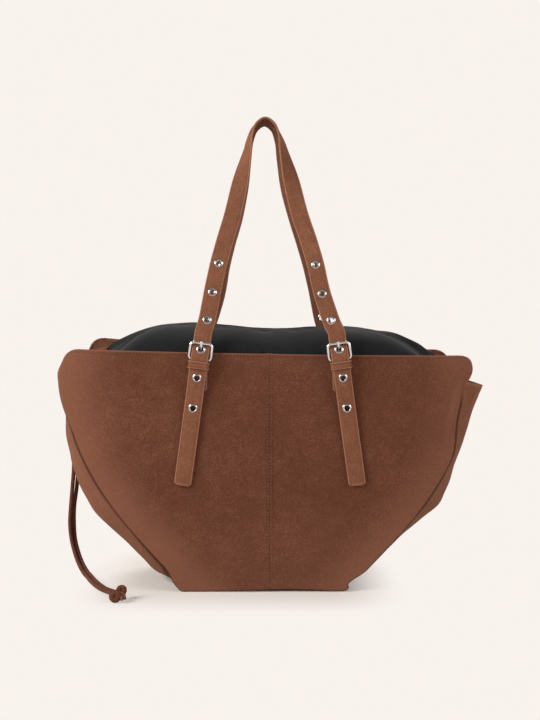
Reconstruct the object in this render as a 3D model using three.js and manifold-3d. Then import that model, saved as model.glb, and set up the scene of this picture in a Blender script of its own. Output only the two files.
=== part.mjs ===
// A suede shopper bag with winged sides, a drawn nylon collar and two buckled shoulder straps.
// Millimetres, +Z up, front towards -Y. The origin is the middle of the base, on the floor.
import * as THREE from 'three';
import { mergeVertices } from 'three/addons/utils/BufferGeometryUtils.js';
import Module from 'manifold-3d';

const wasm = await Module();
wasm.setup();

// Body of the bag
const BAG_DEPTH = 150;
const RIM_HEIGHT = 276;
const RIM_TILT = { front: -4, back: 9 };
const WING_LIFT = { front: 2, back: 4 };
const BASE_HALF_WIDTH = 92;
const WING_HALF_WIDTH = 238;
const WING_CORNER_RADIUS = 22;
const BASE_CORNER_RADIUS = 4;
const PANEL_THICKNESS = 2.2;
const BASE_THICKNESS = 3;
const GUSSET_THICKNESS = 2;
const GUSSET_TOP = 243;
const GUSSET_FOLD_SHARPNESS = 1.4;
const GUSSET_INSET = 1.2;
const CLEARANCE = 0.3;

// Nylon lining and collar
const NYLON_THICKNESS = 1;
const LINING_INSET = 6;
const LINING_FLOOR = 5;
const LINING_FLOOR_SHARE = 0.96;
const LINING_HALF_DEPTH = 70.5;
const COLLAR_HEM_HEIGHT = 262;
const HEM_GAP = 1;
const MOUTH_HALF_WIDTH = 16;
const COLLAR_SLACK_START = 150;
const COLLAR_SLACK_END = 225;

// Straps and their buckles
const STRAP_WIDTH = 20;
const STRAP_THICKNESS = 2.4;
const BUCKLE_X = { left: 77.3, right: 83.2 };
const BUCKLE_BAR_HEIGHT = 269.2;
const BUCKLE_STANDOFF = 3.6;
const BUCKLE_TILT = THREE.MathUtils.degToRad(8);
const FRAME_WIDTH = 25;
const FRAME_HEIGHT = 19.8;
const FRAME_CORNER_RADIUS = 4.6;
const FRAME_WIRE_RADIUS = 1.6;
const FRAME_LEAN = THREE.MathUtils.degToRad(8.3);
const PRONG_WIDTH = 2.6;
const PRONG_THICKNESS = 1;
const CHAPE_WIDTH = 18.4;
const CHAPE_LENGTH = 36;
const CHAPE_THICKNESS = 1.3;
const KEEPER_HEIGHT = 8.5;
const KEEPER_THICKNESS = 1.4;
const TAIL_LENGTH = 146;
const EYELET_RADIUS = 5;
const EYELET_HOLE_RADIUS = 3;
const EYELET_PITCH = 34;
const PRONG_EYELET_HEIGHT = 13;
const ARCH_START = 25;
const ARCH_APEX_HEIGHT = 553.5;
const ARCH_APEX_Y = -11;
const ARCH_SWAY = { front: -2.5, back: 4 };
const TURN_START = 470;
const TURN_END = 552;

// Drawstring
const CORD_DIAMETER = 4.5;
const KNOT_CENTRE = [-168.6, -107.5, 5.4];
const KNOT_TURN = THREE.MathUtils.degToRad(-34.5);
const KNOT_RADIUS = 6.2;
const KNOT_RISE = 3.4;
const KNOT_CORD_RADIUS = 1.95;

const SUEDE = { color: 0x70462f, roughness: 0.95, metalness: 0 };
const NYLON = { color: 0x1d1d20, roughness: 0.7, metalness: 0 };
const NICKEL = { color: 0xd8d9dc, roughness: 0.16, metalness: 1 };

const halfDepth = BAG_DEPTH / 2;
const panelInside = halfDepth - PANEL_THICKNESS;
const gussetHalfDepth = panelInside - CLEARANCE;

const v2 = (x, y) => new THREE.Vector2(x, y);
const v3 = (x, y, z) => new THREE.Vector3(x, y, z);
const sideName = (side) => (side < 0 ? 'left' : 'right');

// Closed bodies from points and triangles

function closedBody(points, triangles) {
  let volume = 0;
  for (const [a, b, c] of triangles) {
    volume += points[a].dot(points[b].clone().cross(points[c]));
  }
  const facing = volume < 0 ? triangles.map(([a, b, c]) => [a, c, b]) : triangles;
  const geometry = new THREE.BufferGeometry();
  geometry.setAttribute('position', new THREE.Float32BufferAttribute(points.flatMap((p) => p.toArray()), 3));
  geometry.setIndex(facing.flat());
  return geometry;
}

function quad(a, b, c, d) {
  return [[a, b, c], [a, c, d]];
}

// A skin through equal rings of points, closed to a loop or capped at both ends.
function loft(rings, loop = false) {
  const points = rings.flat();
  const count = rings[0].length;
  const triangles = [];
  const bands = loop ? rings.length : rings.length - 1;
  for (let row = 0; row < bands; row += 1) {
    const here = row * count;
    const next = ((row + 1) % rings.length) * count;
    for (let i = 0; i < count; i += 1) {
      const j = (i + 1) % count;
      triangles.push(...quad(here + i, here + j, next + j, next + i));
    }
  }
  if (!loop) {
    const last = (rings.length - 1) * count;
    for (let i = 1; i < count - 1; i += 1) {
      triangles.push([0, i + 1, i], [last, last + i, last + i + 1]);
    }
  }
  return closedBody(points, triangles);
}

// A thin wall between an outer and an inner grid. A wrapped wall closes on itself sideways,
// and its first row is then filled by a floor.
function wall(outer, inner, wrapped = false) {
  const rows = outer.length;
  const columns = outer[0].length;
  const points = [...outer.flat(), ...inner.flat()];
  const offset = rows * columns;
  const at = (row, column) => row * columns + (column % columns);
  const triangles = [];
  const across = wrapped ? columns : columns - 1;
  for (let row = 0; row < rows - 1; row += 1) {
    for (let c = 0; c < across; c += 1) {
      const [a, b, d, e] = [at(row, c), at(row, c + 1), at(row + 1, c + 1), at(row + 1, c)];
      triangles.push(...quad(a, b, d, e), ...quad(offset + a, offset + e, offset + d, offset + b));
    }
  }
  for (let c = 0; c < across; c += 1) {
    const [a, b] = [at(rows - 1, c), at(rows - 1, c + 1)];
    triangles.push(...quad(a, b, offset + b, offset + a));
  }
  if (wrapped) {
    for (const [start, turned] of [[0, true], [offset, false]]) {
      const middle = points.length;
      const ring = points.slice(start, start + columns);
      const centre = ring.reduce((sum, p) => sum.add(p), v3(0, 0, 0)).divideScalar(columns);
      points.push(centre);
      for (let c = 0; c < columns; c += 1) {
        const [a, b] = [start + at(0, c), start + at(0, c + 1)];
        triangles.push(turned ? [middle, b, a] : [middle, a, b]);
      }
    }
  } else {
    for (let c = 0; c < across; c += 1) {
      const [a, b] = [at(0, c), at(0, c + 1)];
      triangles.push(...quad(b, a, offset + a, offset + b));
    }
    for (let row = 0; row < rows - 1; row += 1) {
      const [a, b] = [at(row, 0), at(row + 1, 0)];
      const [d, e] = [at(row, columns - 1), at(row + 1, columns - 1)];
      triangles.push(...quad(a, b, offset + b, offset + a), ...quad(e, d, offset + d, offset + e));
    }
  }
  return closedBody(points, triangles);
}

// Boolean cuts

function solidOf(geometry) {
  const bare = geometry.clone();
  bare.deleteAttribute('normal');
  bare.deleteAttribute('uv');
  const merged = mergeVertices(bare, 1e-4);
  const triVerts = new Uint32Array(merged.index.array);
  const vertProperties = new Float32Array(merged.attributes.position.array);
  return new wasm.Manifold(new wasm.Mesh({ numProp: 3, vertProperties, triVerts }));
}

function geometryOf(solid) {
  const mesh = solid.getMesh();
  const geometry = new THREE.BufferGeometry();
  geometry.setAttribute('position', new THREE.Float32BufferAttribute(mesh.vertProperties, 3));
  geometry.setIndex(Array.from(mesh.triVerts));
  return geometry;
}

function cutAway(geometry, tools) {
  return geometryOf(tools.reduce((solid, tool) => solid.subtract(solidOf(tool)), solidOf(geometry)));
}

function keepInside(geometry, limit) {
  return geometryOf(solidOf(geometry).intersect(solidOf(limit)));
}

function named(name, geometry, finish) {
  const mesh = new THREE.Mesh(geometry, new THREE.MeshStandardMaterial(finish));
  mesh.name = name;
  return mesh;
}

// Panels: each side of the bag is two halves joined at a centre seam.

const sideSeam = new THREE.CubicBezierCurve(v2(95, 4), v2(175, 85), v2(232, 150), v2(WING_HALF_WIDTH, 252));

// The rim slopes a little along the panel: its wings stand higher or lower than its middle.
function halfPanel(side, face) {
  const outline = new THREE.Shape();
  const wingRim = RIM_HEIGHT + WING_LIFT[face] + side * RIM_TILT[face];
  const inner = CLEARANCE / 2;
  outline.moveTo(side * inner, 0);
  outline.lineTo(side * (BASE_HALF_WIDTH - BASE_CORNER_RADIUS), 0);
  outline.quadraticCurveTo(side * BASE_HALF_WIDTH, 0, side * sideSeam.v0.x, sideSeam.v0.y);
  outline.bezierCurveTo(
    side * sideSeam.v1.x, sideSeam.v1.y,
    side * sideSeam.v2.x, sideSeam.v2.y,
    side * sideSeam.v3.x, sideSeam.v3.y,
  );
  outline.bezierCurveTo(
    side * WING_HALF_WIDTH, wingRim - WING_CORNER_RADIUS * 0.4,
    side * (WING_HALF_WIDTH - WING_CORNER_RADIUS * 0.4), wingRim,
    side * (WING_HALF_WIDTH - WING_CORNER_RADIUS), wingRim,
  );
  outline.lineTo(side * inner, RIM_HEIGHT);
  outline.closePath();
  const geometry = new THREE.ExtrudeGeometry(outline, {
    depth: PANEL_THICKNESS, bevelEnabled: false, curveSegments: 14,
  });
  geometry.rotateX(Math.PI / 2);
  geometry.translate(0, -panelInside, 0);
  return geometry;
}

// Gussets: a sheet from the front seam to the back seam, folded outwards along its middle.
// The left one is drawn in at the top by the drawstring.

const foldLines = {
  right: new THREE.SplineCurve([
    v2(98, 4), v2(140, 33), v2(165, 53), v2(189, 71), v2(209.5, 88), v2(217, 104), v2(226.5, 130),
    v2(236.5, 160), v2(249, 200), v2(262, 234),
  ]),
  left: new THREE.SplineCurve([
    v2(98, 4), v2(128, 13), v2(150, 26), v2(171, 43), v2(191.5, 59), v2(210.5, 78), v2(228, 107),
    v2(241, 147), v2(246.5, 195), v2(232, 236),
  ]),
};

// The share of the side seam, by length, that lies below the gusset's top edge.
const gussetShare = (() => {
  let share = 1;
  while (sideSeam.getPointAt(share).y > GUSSET_TOP) share -= 0.001;
  return share;
})();

function inwardNormal(curve, share) {
  const tangent = curve.getTangentAt(share);
  return v2(-tangent.y, tangent.x);
}

// A point of the side wall: share runs up the wall, across runs from -1 (front) to 1 (back).
function sideWallPoint(fold, share, across, inset, halfWallDepth) {
  const seamShare = share * gussetShare;
  const seam = sideSeam.getPointAt(seamShare).addScaledVector(inwardNormal(sideSeam, seamShare), inset);
  const middle = fold.getPointAt(share).addScaledVector(inwardNormal(fold, share), inset);
  const bulge = 1 - Math.abs(across) ** GUSSET_FOLD_SHARPNESS;
  const place = seam.lerp(middle, bulge);
  return v3(place.x, across * halfWallDepth, place.y);
}

function mirroredTo(side, point) {
  return v3(side * point.x, point.y, point.z);
}

function gusset(side, fold) {
  const rows = 11;
  const columns = 10;
  const sheet = (inset) => Array.from({ length: rows + 1 }, (_, row) => (
    Array.from({ length: columns + 1 }, (__, column) => mirroredTo(side, sideWallPoint(
      fold, row / rows, (2 * column) / columns - 1, inset, gussetHalfDepth,
    )))
  ));
  return wall(sheet(GUSSET_INSET), sheet(GUSSET_INSET + GUSSET_THICKNESS));
}

// Base panel: the flat the bag stands on.

function basePanel() {
  const halfWidth = BASE_HALF_WIDTH - 1;
  const radius = 6;
  const outline = new THREE.Shape();
  outline.moveTo(-halfWidth + radius, -gussetHalfDepth);
  outline.lineTo(halfWidth - radius, -gussetHalfDepth);
  outline.absarc(halfWidth - radius, -gussetHalfDepth + radius, radius, -Math.PI / 2, 0);
  outline.absarc(halfWidth - radius, gussetHalfDepth - radius, radius, 0, Math.PI / 2);
  outline.absarc(-halfWidth + radius, gussetHalfDepth - radius, radius, Math.PI / 2, Math.PI);
  outline.absarc(-halfWidth + radius, -gussetHalfDepth + radius, radius, Math.PI, Math.PI * 1.5);
  return new THREE.ExtrudeGeometry(outline, { depth: BASE_THICKNESS, bevelEnabled: false, curveSegments: 4 });
}

// Lining: an open nylon bag that follows the panels and gussets from inside.

const endSteps = 3;
const frontSteps = 8;

function liningHeight(share, along) {
  const low = sideWallPoint(foldLines.right, share, 1, LINING_INSET, LINING_HALF_DEPTH).z;
  const lift = share === 1 ? (COLLAR_HEM_HEIGHT - low) * (1 - along ** 6) : 0;
  return low + lift;
}

// One half of a section, from the left fold along the front to the right fold, at the front.
function liningHalfSection(share, inset, halfLiningDepth) {
  const section = [];
  for (let i = 0; i < endSteps; i += 1) {
    const across = -Math.max(i / endSteps, CLEARANCE / halfLiningDepth);
    section.push(mirroredTo(-1, sideWallPoint(foldLines.left, share, across, inset, halfLiningDepth)));
  }
  const corner = sideWallPoint(foldLines.right, share, -1, inset, halfLiningDepth);
  for (let i = 0; i <= frontSteps; i += 1) {
    const along = (2 * i) / frontSteps - 1;
    section.push(v3(along * corner.x, -halfLiningDepth, liningHeight(share, Math.abs(along))));
  }
  for (let i = endSteps - 1; i >= 0; i -= 1) {
    const across = -Math.max(i / endSteps, CLEARANCE / halfLiningDepth);
    section.push(sideWallPoint(foldLines.right, share, across, inset, halfLiningDepth));
  }
  return section;
}

function liningBag() {
  const rows = 6;
  const skin = (inset, depth, floorHeight) => Array.from({ length: rows + 1 }, (_, row) => {
    const front = liningHalfSection(row / rows, inset, depth);
    const back = front.map((p) => v3(p.x, -p.y, p.z)).reverse();
    const ring = [...front, ...back];
    return row === 0 ? ring.map((p) => v3(p.x * LINING_FLOOR_SHARE, p.y, floorHeight)) : ring;
  });
  const outer = skin(LINING_INSET, LINING_HALF_DEPTH, LINING_FLOOR);
  const inner = skin(
    LINING_INSET + NYLON_THICKNESS, LINING_HALF_DEPTH - NYLON_THICKNESS, LINING_FLOOR + NYLON_THICKNESS,
  );
  return wall(outer, inner, true);
}

// Collar: two nylon halves that rise from the lining's top edge and are drawn in to a slit.
// Away from the drawstring's exit the right end hangs slack.

const crestLine = new THREE.SplineCurve([
  v2(-188, 269), v2(-172, 287), v2(-151, 297), v2(-127, 304), v2(-83, 308), v2(-40, 304), v2(5, 301),
  v2(60, 303), v2(107, 301), v2(157, 295), v2(186, 281), v2(206, 266),
]);
const [crestLeft, crestRight] = [crestLine.points[0].x, crestLine.points.at(-1).x];

function crestPoint(share) {
  const place = crestLine.getPointAt(share);
  const middle = (crestLeft + crestRight) / 2;
  const reach = (place.x - middle) / (crestRight - middle);
  const open = MOUTH_HALF_WIDTH * (1 - reach * reach) + CLEARANCE;
  return v3(place.x, -open, place.y);
}

function collarHalf() {
  const rows = 6;
  const hem = liningHalfSection(1, LINING_INSET, LINING_HALF_DEPTH);
  const lengths = hem.map((p, i) => (i === 0 ? 0 : p.distanceTo(hem[i - 1])));
  const total = lengths.reduce((sum, step) => sum + step, 0);
  let walked = 0;
  const outer = Array.from({ length: rows + 1 }, () => []);
  hem.forEach((foot, i) => {
    walked += lengths[i];
    const top = crestPoint(walked / total);
    const slack = THREE.MathUtils.smoothstep(foot.x, COLLAR_SLACK_START, COLLAR_SLACK_END);
    for (let row = 0; row <= rows; row += 1) {
      const climb = row / rows;
      const turn = (climb * Math.PI) / 2;
      const place = foot.clone().lerp(top, THREE.MathUtils.lerp(1 - Math.cos(turn), climb, slack));
      const rise = THREE.MathUtils.lerp(Math.sin(turn), climb, slack);
      place.z = foot.z + HEM_GAP + (top.z - foot.z - HEM_GAP) * rise;
      outer[row].push(place);
    }
  });
  const heart = v3((crestLeft + crestRight) / 2, 0, 200);
  const inner = outer.map((row, rowIndex) => row.map((p) => {
    const inward = heart.clone().sub(p);
    inward.x *= 0.35;
    if (rowIndex === 0) inward.z = 0;
    const place = p.clone().addScaledVector(inward.normalize(), NYLON_THICKNESS * 1.2);
    place.y = Math.min(place.y, -CLEARANCE);
    return place;
  }));
  return wall(outer, inner);
}

// Strap ends. In a strap end's own frame X runs across the strap, -Y faces out from the panel,
// Z runs up the strap, and the origin is the middle of the buckle's lower bar.

// A side view of strap and buckle, as (height along the strap, distance out from the bar).
function sideView(points) {
  return points.map(([height, out]) => v2(-out, height));
}

function extrudeAcross(shape, width, curveSegments = 8) {
  const geometry = new THREE.ExtrudeGeometry(shape, { depth: width, bevelEnabled: false, curveSegments });
  geometry.translate(0, 0, -width / 2);
  const turned = new THREE.Matrix4().makeBasis(v3(0, 1, 0), v3(0, 0, 1), v3(1, 0, 0));
  return geometry.applyMatrix4(turned);
}

// A band of even thickness along a side-view curve.
function bandShape(points, thickness, steps) {
  const curve = new THREE.SplineCurve(sideView(points));
  const edge = (offset) => Array.from({ length: steps + 1 }, (_, i) => {
    const share = i / steps;
    return curve.getPointAt(share).addScaledVector(inwardNormal(curve, share), offset);
  });
  return new THREE.Shape([...edge(thickness / 2), ...edge(-thickness / 2).reverse()]);
}

// A tab outline in the plane of the panel with both lower corners rounded.
function roundedTab(width, low, high, radius) {
  const half = width / 2;
  const outline = new THREE.Shape();
  outline.moveTo(half, high);
  outline.lineTo(-half, high);
  outline.lineTo(-half, low + radius);
  outline.absarc(-half + radius, low + radius, radius, Math.PI, Math.PI * 1.5);
  outline.absarc(half - radius, low + radius, radius, Math.PI * 1.5, Math.PI * 2);
  const deep = 60;
  const geometry = new THREE.ExtrudeGeometry(outline, { depth: deep, bevelEnabled: false, curveSegments: 5 });
  geometry.rotateX(Math.PI / 2);
  geometry.translate(0, deep / 2, 0);
  return geometry;
}

const tailPath = [
  [24.3, -0.83], [19, -0.1], [13, 1.7], [4, 4.04], [-3, 4.95], [-10, 4.2], [-21, 2.5],
  [-38, 0.6], [-55, -0.7], [-90, -1.7], [-TAIL_LENGTH, -2],
];
const tailEyeletHeights = [0, 1, 2].map((step) => PRONG_EYELET_HEIGHT - step * EYELET_PITCH);
const eyeletBarrelRadius = EYELET_HOLE_RADIUS + 0.3;
const strapHoleRadius = eyeletBarrelRadius + CLEARANCE;

function strapHole() {
  return new THREE.CylinderGeometry(strapHoleRadius, strapHoleRadius, STRAP_THICKNESS * 4, 10);
}

// The place of an eyelet on the tail: its middle and its lean out of the strap's plane.
function tailEyeletPlace(height) {
  const curve = new THREE.SplineCurve(sideView(tailPath));
  let share = 0;
  while (curve.getPointAt(share).y > height) share += 0.0005;
  const place = curve.getPointAt(share);
  const tangent = curve.getTangentAt(share);
  return { place: v3(0, place.x, place.y), lean: Math.atan2(tangent.x, -tangent.y) };
}

function strapTail() {
  const band = extrudeAcross(bandShape(tailPath, STRAP_THICKNESS, 24), STRAP_WIDTH);
  const rounded = keepInside(band, roundedTab(STRAP_WIDTH + 1, -TAIL_LENGTH + 0.4, 30, 3.5));
  const holes = tailEyeletHeights.map((height) => {
    const { place, lean } = tailEyeletPlace(height);
    const hole = strapHole();
    hole.rotateX(lean);
    return hole.translate(place.x, place.y, place.z);
  });
  return cutAway(rounded, holes);
}

function eyelet() {
  const seat = STRAP_THICKNESS / 2 + CLEARANCE;
  const face = seat + 0.5;
  const ring = [
    v2(eyeletBarrelRadius, -seat), v2(eyeletBarrelRadius, seat), v2(EYELET_RADIUS, seat),
    v2(EYELET_RADIUS - 0.8, face), v2(EYELET_HOLE_RADIUS, face - 0.1),
    v2(EYELET_HOLE_RADIUS, -face + 0.1), v2(EYELET_RADIUS - 0.8, -face), v2(EYELET_RADIUS, -seat),
    v2(eyeletBarrelRadius, -seat),
  ];
  return new THREE.LatheGeometry(ring, 10);
}

function buckleFrame() {
  const steps = 3;
  const wireSides = 8;
  const middles = [];
  const [halfW, radius] = [FRAME_WIDTH / 2, FRAME_CORNER_RADIUS];
  const corners = [
    [halfW - radius, radius, -90], [halfW - radius, FRAME_HEIGHT - radius, 0],
    [-halfW + radius, FRAME_HEIGHT - radius, 90], [-halfW + radius, radius, 180],
  ];
  for (const [x, z, startAngle] of corners) {
    for (let i = 0; i <= steps; i += 1) {
      const angle = THREE.MathUtils.degToRad(startAngle + (90 * i) / steps);
      const out = v3(Math.cos(angle), 0, Math.sin(angle));
      middles.push({ place: v3(x, 0, z).addScaledVector(out, radius), out });
    }
  }
  const rings = middles.map(({ place, out }) => Array.from({ length: wireSides }, (_, i) => {
    const angle = (i / wireSides) * Math.PI * 2;
    const radial = out.clone().multiplyScalar(Math.cos(angle)).add(v3(0, Math.sin(angle), 0));
    return place.clone().addScaledVector(radial, FRAME_WIRE_RADIUS);
  }));
  return loft(rings, true);
}

// The prong is an eye round the lower bar with a tongue that passes through the eyelet
// and lies on the front of the top bar.
function buckleProng() {
  const eyeInner = FRAME_WIRE_RADIUS + CLEARANCE;
  const eyeOuter = eyeInner + 1.1;
  const tongue = new THREE.SplineCurve(sideView([
    [1.9, 0.4], [8.4, -0.5], [11.2, 0], [13, 1.6], [14.9, 3.2], [17, 4.7], [19.6, 5.3], [21.8, 5.5],
  ]));
  const steps = 12;
  const edge = (sign) => Array.from({ length: steps + 1 }, (_, i) => {
    const share = i / steps;
    const half = (PRONG_THICKNESS / 2) * (share > 0.97 ? 0.7 : 1);
    return tongue.getPointAt(share).addScaledVector(inwardNormal(tongue, share), sign * half);
  });
  const outline = new THREE.Shape([...edge(1), ...edge(-1).reverse()]);
  const eye = new THREE.Shape();
  eye.absarc(0, 0, eyeOuter, 0, Math.PI * 2);
  const bore = new THREE.Path();
  bore.absarc(0, 0, eyeInner, 0, Math.PI * 2, true);
  eye.holes.push(bore);
  const boreTool = new THREE.Shape();
  boreTool.absarc(0, 0, eyeInner, 0, Math.PI * 2);
  const blade = cutAway(extrudeAcross(outline, PRONG_WIDTH), [extrudeAcross(boreTool, PRONG_WIDTH + 2, 5)]);
  return geometryOf(solidOf(extrudeAcross(eye, PRONG_WIDTH, 5)).add(solidOf(blade)));
}

// The chape folds round the lower bar, is slotted for the prong and is sewn down below it.
function chape(side) {
  const back = -BUCKLE_STANDOFF + CLEARANCE;
  const loop = -back;
  const front = back + 2 * CHAPE_THICKNESS;
  const join = -15;
  const outline = new THREE.Shape();
  outline.moveTo(-back, -CHAPE_LENGTH);
  outline.lineTo(-back, 0);
  outline.absarc(0, 0, loop, 0, Math.PI);
  outline.lineTo(-front, join);
  outline.lineTo(-front, -CHAPE_LENGTH);
  const bore = new THREE.Path();
  bore.absarc(0, 0, loop - CHAPE_THICKNESS, 0, Math.PI * 2, true);
  outline.holes.push(bore);
  const tab = keepInside(
    extrudeAcross(outline, CHAPE_WIDTH, 6), roundedTab(CHAPE_WIDTH + 1, -CHAPE_LENGTH + 0.2, 10, 6),
  );
  const slotFoot = -5;
  const slot = new THREE.BoxGeometry(PRONG_WIDTH + 1, 12, 12);
  slot.translate(0, 0, slotFoot + 6);
  const slotted = cutAway(tab, [slot]);
  const position = slotted.attributes.position;
  for (let i = 0; i < position.count; i += 1) {
    const below = Math.max(0, slotFoot - position.getZ(i));
    position.setX(i, position.getX(i) - side * Math.tan(BUCKLE_TILT) * below);
  }
  return slotted;
}

// The keeper is a suede bridge over the strap with both ends sewn to the panel.
function keeper() {
  const half = STRAP_WIDTH / 2 + 0.7;
  const reach = 6.7;
  const back = -BUCKLE_STANDOFF + CLEARANCE;
  const outline = new THREE.Shape();
  const outerHalf = half + KEEPER_THICKNESS;
  const outerReach = reach + KEEPER_THICKNESS;
  const round = 2.2;
  outline.moveTo(-outerHalf, -back);
  outline.lineTo(-outerHalf, -outerReach + round);
  outline.absarc(-outerHalf + round, -outerReach + round, round, Math.PI, Math.PI * 1.5);
  outline.absarc(outerHalf - round, -outerReach + round, round, Math.PI * 1.5, Math.PI * 2);
  outline.lineTo(outerHalf, -back);
  outline.lineTo(half, -back);
  outline.lineTo(half, -reach);
  outline.lineTo(-half, -reach);
  outline.lineTo(-half, -back);
  const geometry = new THREE.ExtrudeGeometry(outline, {
    depth: KEEPER_HEIGHT, bevelEnabled: false, curveSegments: 3,
  });
  return geometry.translate(0, 0, -KEEPER_HEIGHT - 1.5);
}

// One buckled strap end, as seen from the front of its own side of the bag.
function strapEnd(name, side) {
  const end = new THREE.Group();
  end.position.set(side * BUCKLE_X[sideName(side)], -halfDepth - BUCKLE_STANDOFF, BUCKLE_BAR_HEIGHT);
  end.rotation.y = -side * BUCKLE_TILT;
  const frame = named(`${name}_buckle_frame`, buckleFrame(), NICKEL);
  frame.rotation.x = FRAME_LEAN;
  end.add(
    frame,
    named(`${name}_buckle_prong`, buckleProng(), NICKEL),
    named(`${name}_chape`, chape(side), SUEDE),
    named(`${name}_keeper`, keeper(), SUEDE),
    named(`${name}_strap_tail`, strapTail(), SUEDE),
  );
  tailEyeletHeights.forEach((height, i) => {
    const { place, lean } = tailEyeletPlace(height);
    const ring = named(`${name}_tail_eyelet_${i + 1}`, eyelet(), NICKEL);
    ring.position.copy(place);
    ring.rotation.x = lean;
    end.add(ring);
  });
  return end;
}

// Arch of a shoulder strap: two legs that lean in over the bag and turn a quarter turn to
// meet flat at the top. The legs are given as distance from the middle and height, from buckle
// to top.

const archStartHeight = BUCKLE_BAR_HEIGHT + ARCH_START * Math.cos(BUCKLE_TILT);
const archStartInset = ARCH_START * Math.sin(BUCKLE_TILT);
const archStartY = -halfDepth - BUCKLE_STANDOFF + 1.05;

const legTops = [[38.5, 437], [30, 474], [22.5, 509], [18, 530], [11.5, 546]];
const legs = {
  left: [
    [BUCKLE_X.left - archStartInset, archStartHeight], [72.9, 300.5], [69, 314], [65.6, 331], [62.5, 347.5],
    [59, 363], [55, 380], [47.2, 408], ...legTops,
  ],
  right: [
    [BUCKLE_X.right - archStartInset, archStartHeight], [78.8, 300.5], [74.4, 310], [67.8, 327], [62.4, 344],
    [58.9, 359], [55.4, 377], [47, 408], ...legTops,
  ],
};

function archCurve(sway) {
  const slope = (ARCH_APEX_Y - archStartY) / (ARCH_APEX_HEIGHT - archStartHeight);
  const place = (x, z) => {
    const rise = (z - archStartHeight) / (ARCH_APEX_HEIGHT - archStartHeight);
    const shift = sway * rise * Math.sin(Math.min(rise * 2, 1) * (Math.PI / 2));
    return v3(x + shift, archStartY + slope * (z - archStartHeight), z);
  };
  const right = legs.right.map(([x, z]) => place(x, z));
  const left = legs.left.map(([x, z]) => place(-x, z)).reverse();
  return new THREE.CatmullRomCurve3([...right, place(0, ARCH_APEX_HEIGHT), ...left], false, 'centripetal');
}

// The strap's own directions at a share of the arch: along, outer face and across.
function archFrame(curve, share) {
  const place = curve.getPointAt(share);
  const along = curve.getTangentAt(share);
  const outward = v3(0, 1, 0).cross(along).normalize();
  const front = outward.clone().cross(along).normalize();
  const turn = THREE.MathUtils.smoothstep(place.z, TURN_START, TURN_END) * (Math.PI / 2);
  const face = front.multiplyScalar(Math.cos(turn)).addScaledVector(outward, Math.sin(turn));
  const across = along.clone().cross(face).normalize();
  return { place, along, face, across };
}

function archStrap(curve, eyeletShares) {
  const steps = 34;
  const [halfWidth, halfThickness, edge] = [STRAP_WIDTH / 2, STRAP_THICKNESS / 2, 0.5];
  const section = [
    [halfWidth, halfThickness - edge], [halfWidth - edge, halfThickness],
    [-halfWidth + edge, halfThickness], [-halfWidth, halfThickness - edge],
    [-halfWidth, -halfThickness + edge], [-halfWidth + edge, -halfThickness],
    [halfWidth - edge, -halfThickness], [halfWidth, -halfThickness + edge],
  ];
  const rings = Array.from({ length: steps + 1 }, (_, i) => {
    const { place, face, across } = archFrame(curve, i / steps);
    return section.map(([w, n]) => place.clone().addScaledVector(across, w).addScaledVector(face, n));
  });
  const holes = eyeletShares.map((share) => {
    const { place, along, face, across } = archFrame(curve, share);
    const hole = strapHole();
    hole.applyMatrix4(new THREE.Matrix4().makeBasis(across, face, along.negate()));
    return hole.translate(place.x, place.y, place.z);
  });
  return cutAway(loft(rings), holes);
}

function shoulderStrap(name, sway, legNames) {
  const strap = new THREE.Group();
  const curve = archCurve(sway);
  const length = curve.getLength();
  const first = PRONG_EYELET_HEIGHT + EYELET_PITCH - ARCH_START;
  const shares = [0, 1, 2].map((step) => (first + step * EYELET_PITCH) / length);
  const eyeletShares = [...shares, ...shares.map((share) => 1 - share)];
  strap.add(named(`${name}_handle_strap`, archStrap(curve, eyeletShares), SUEDE));
  eyeletShares.forEach((share, i) => {
    const { place, along, face, across } = archFrame(curve, share);
    const ring = named(`${legNames[i < 3 ? 0 : 1]}_leg_eyelet_${(i % 3) + 1}`, eyelet(), NICKEL);
    ring.position.copy(place);
    ring.quaternion.setFromRotationMatrix(new THREE.Matrix4().makeBasis(across, face, along.negate()));
    strap.add(ring);
  });
  return strap;
}

// Drawstring: two suede strands leave the collar's left end, hang over the gusset and lie on
// the floor, where one knot ties them.

const strandRoutes = {
  front: [
    [-193, -2.9, 277.6], [-199, -0.8, 276.8], [-208.5, 3.3, 272.6], [-217.5, 7.8, 264.6], [-226, 13, 254.8],
    [-233, 18, 245.5], [-239, 22.5, 234], [-242.5, 26, 219], [-244, 28.5, 200], [-243.6, 29.5, 180],
    [-242, 29.8, 155], [-242.2, 29.4, 130], [-244.2, 28.6, 105], [-246, 27.4, 80], [-246.4, 25.6, 60],
    [-244.6, 22.6, 40], [-241, 18, 25], [-235.8, 10.5, 12.5], [-229.4, -0.5, 4.8], [-221, -15, 2.7],
    [-212, -34, 2.5], [-202.4, -54, 2.5], [-194, -70, 2.7], [-185.6, -84, 3.8], [-176.2, -98.5, 5.4],
  ],
  back: [
    [-193, 2.9, 278.2], [-199, 5.2, 278], [-208.8, 9.3, 273.8], [-218.2, 13.8, 266], [-226.2, 18.8, 255.6],
    [-232.4, 24, 246], [-237.6, 28.6, 234], [-240.6, 32, 219], [-242, 34.6, 200], [-240, 35.8, 180],
    [-237, 36.2, 155], [-236.4, 35.8, 130], [-238, 34.6, 105], [-240.6, 32.4, 80], [-241.4, 29.9, 60],
    [-239.8, 26.4, 40], [-236.2, 21.6, 25], [-230.8, 14, 12.7], [-224, 2.4, 5], [-215.8, -12.4, 2.7],
    [-206.9, -31.4, 2.5], [-197.3, -51.6, 2.5], [-188.9, -67.5, 2.7], [-180.6, -81.3, 3.8],
    [-171.1, -95.7, 5.4],
  ],
};

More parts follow.
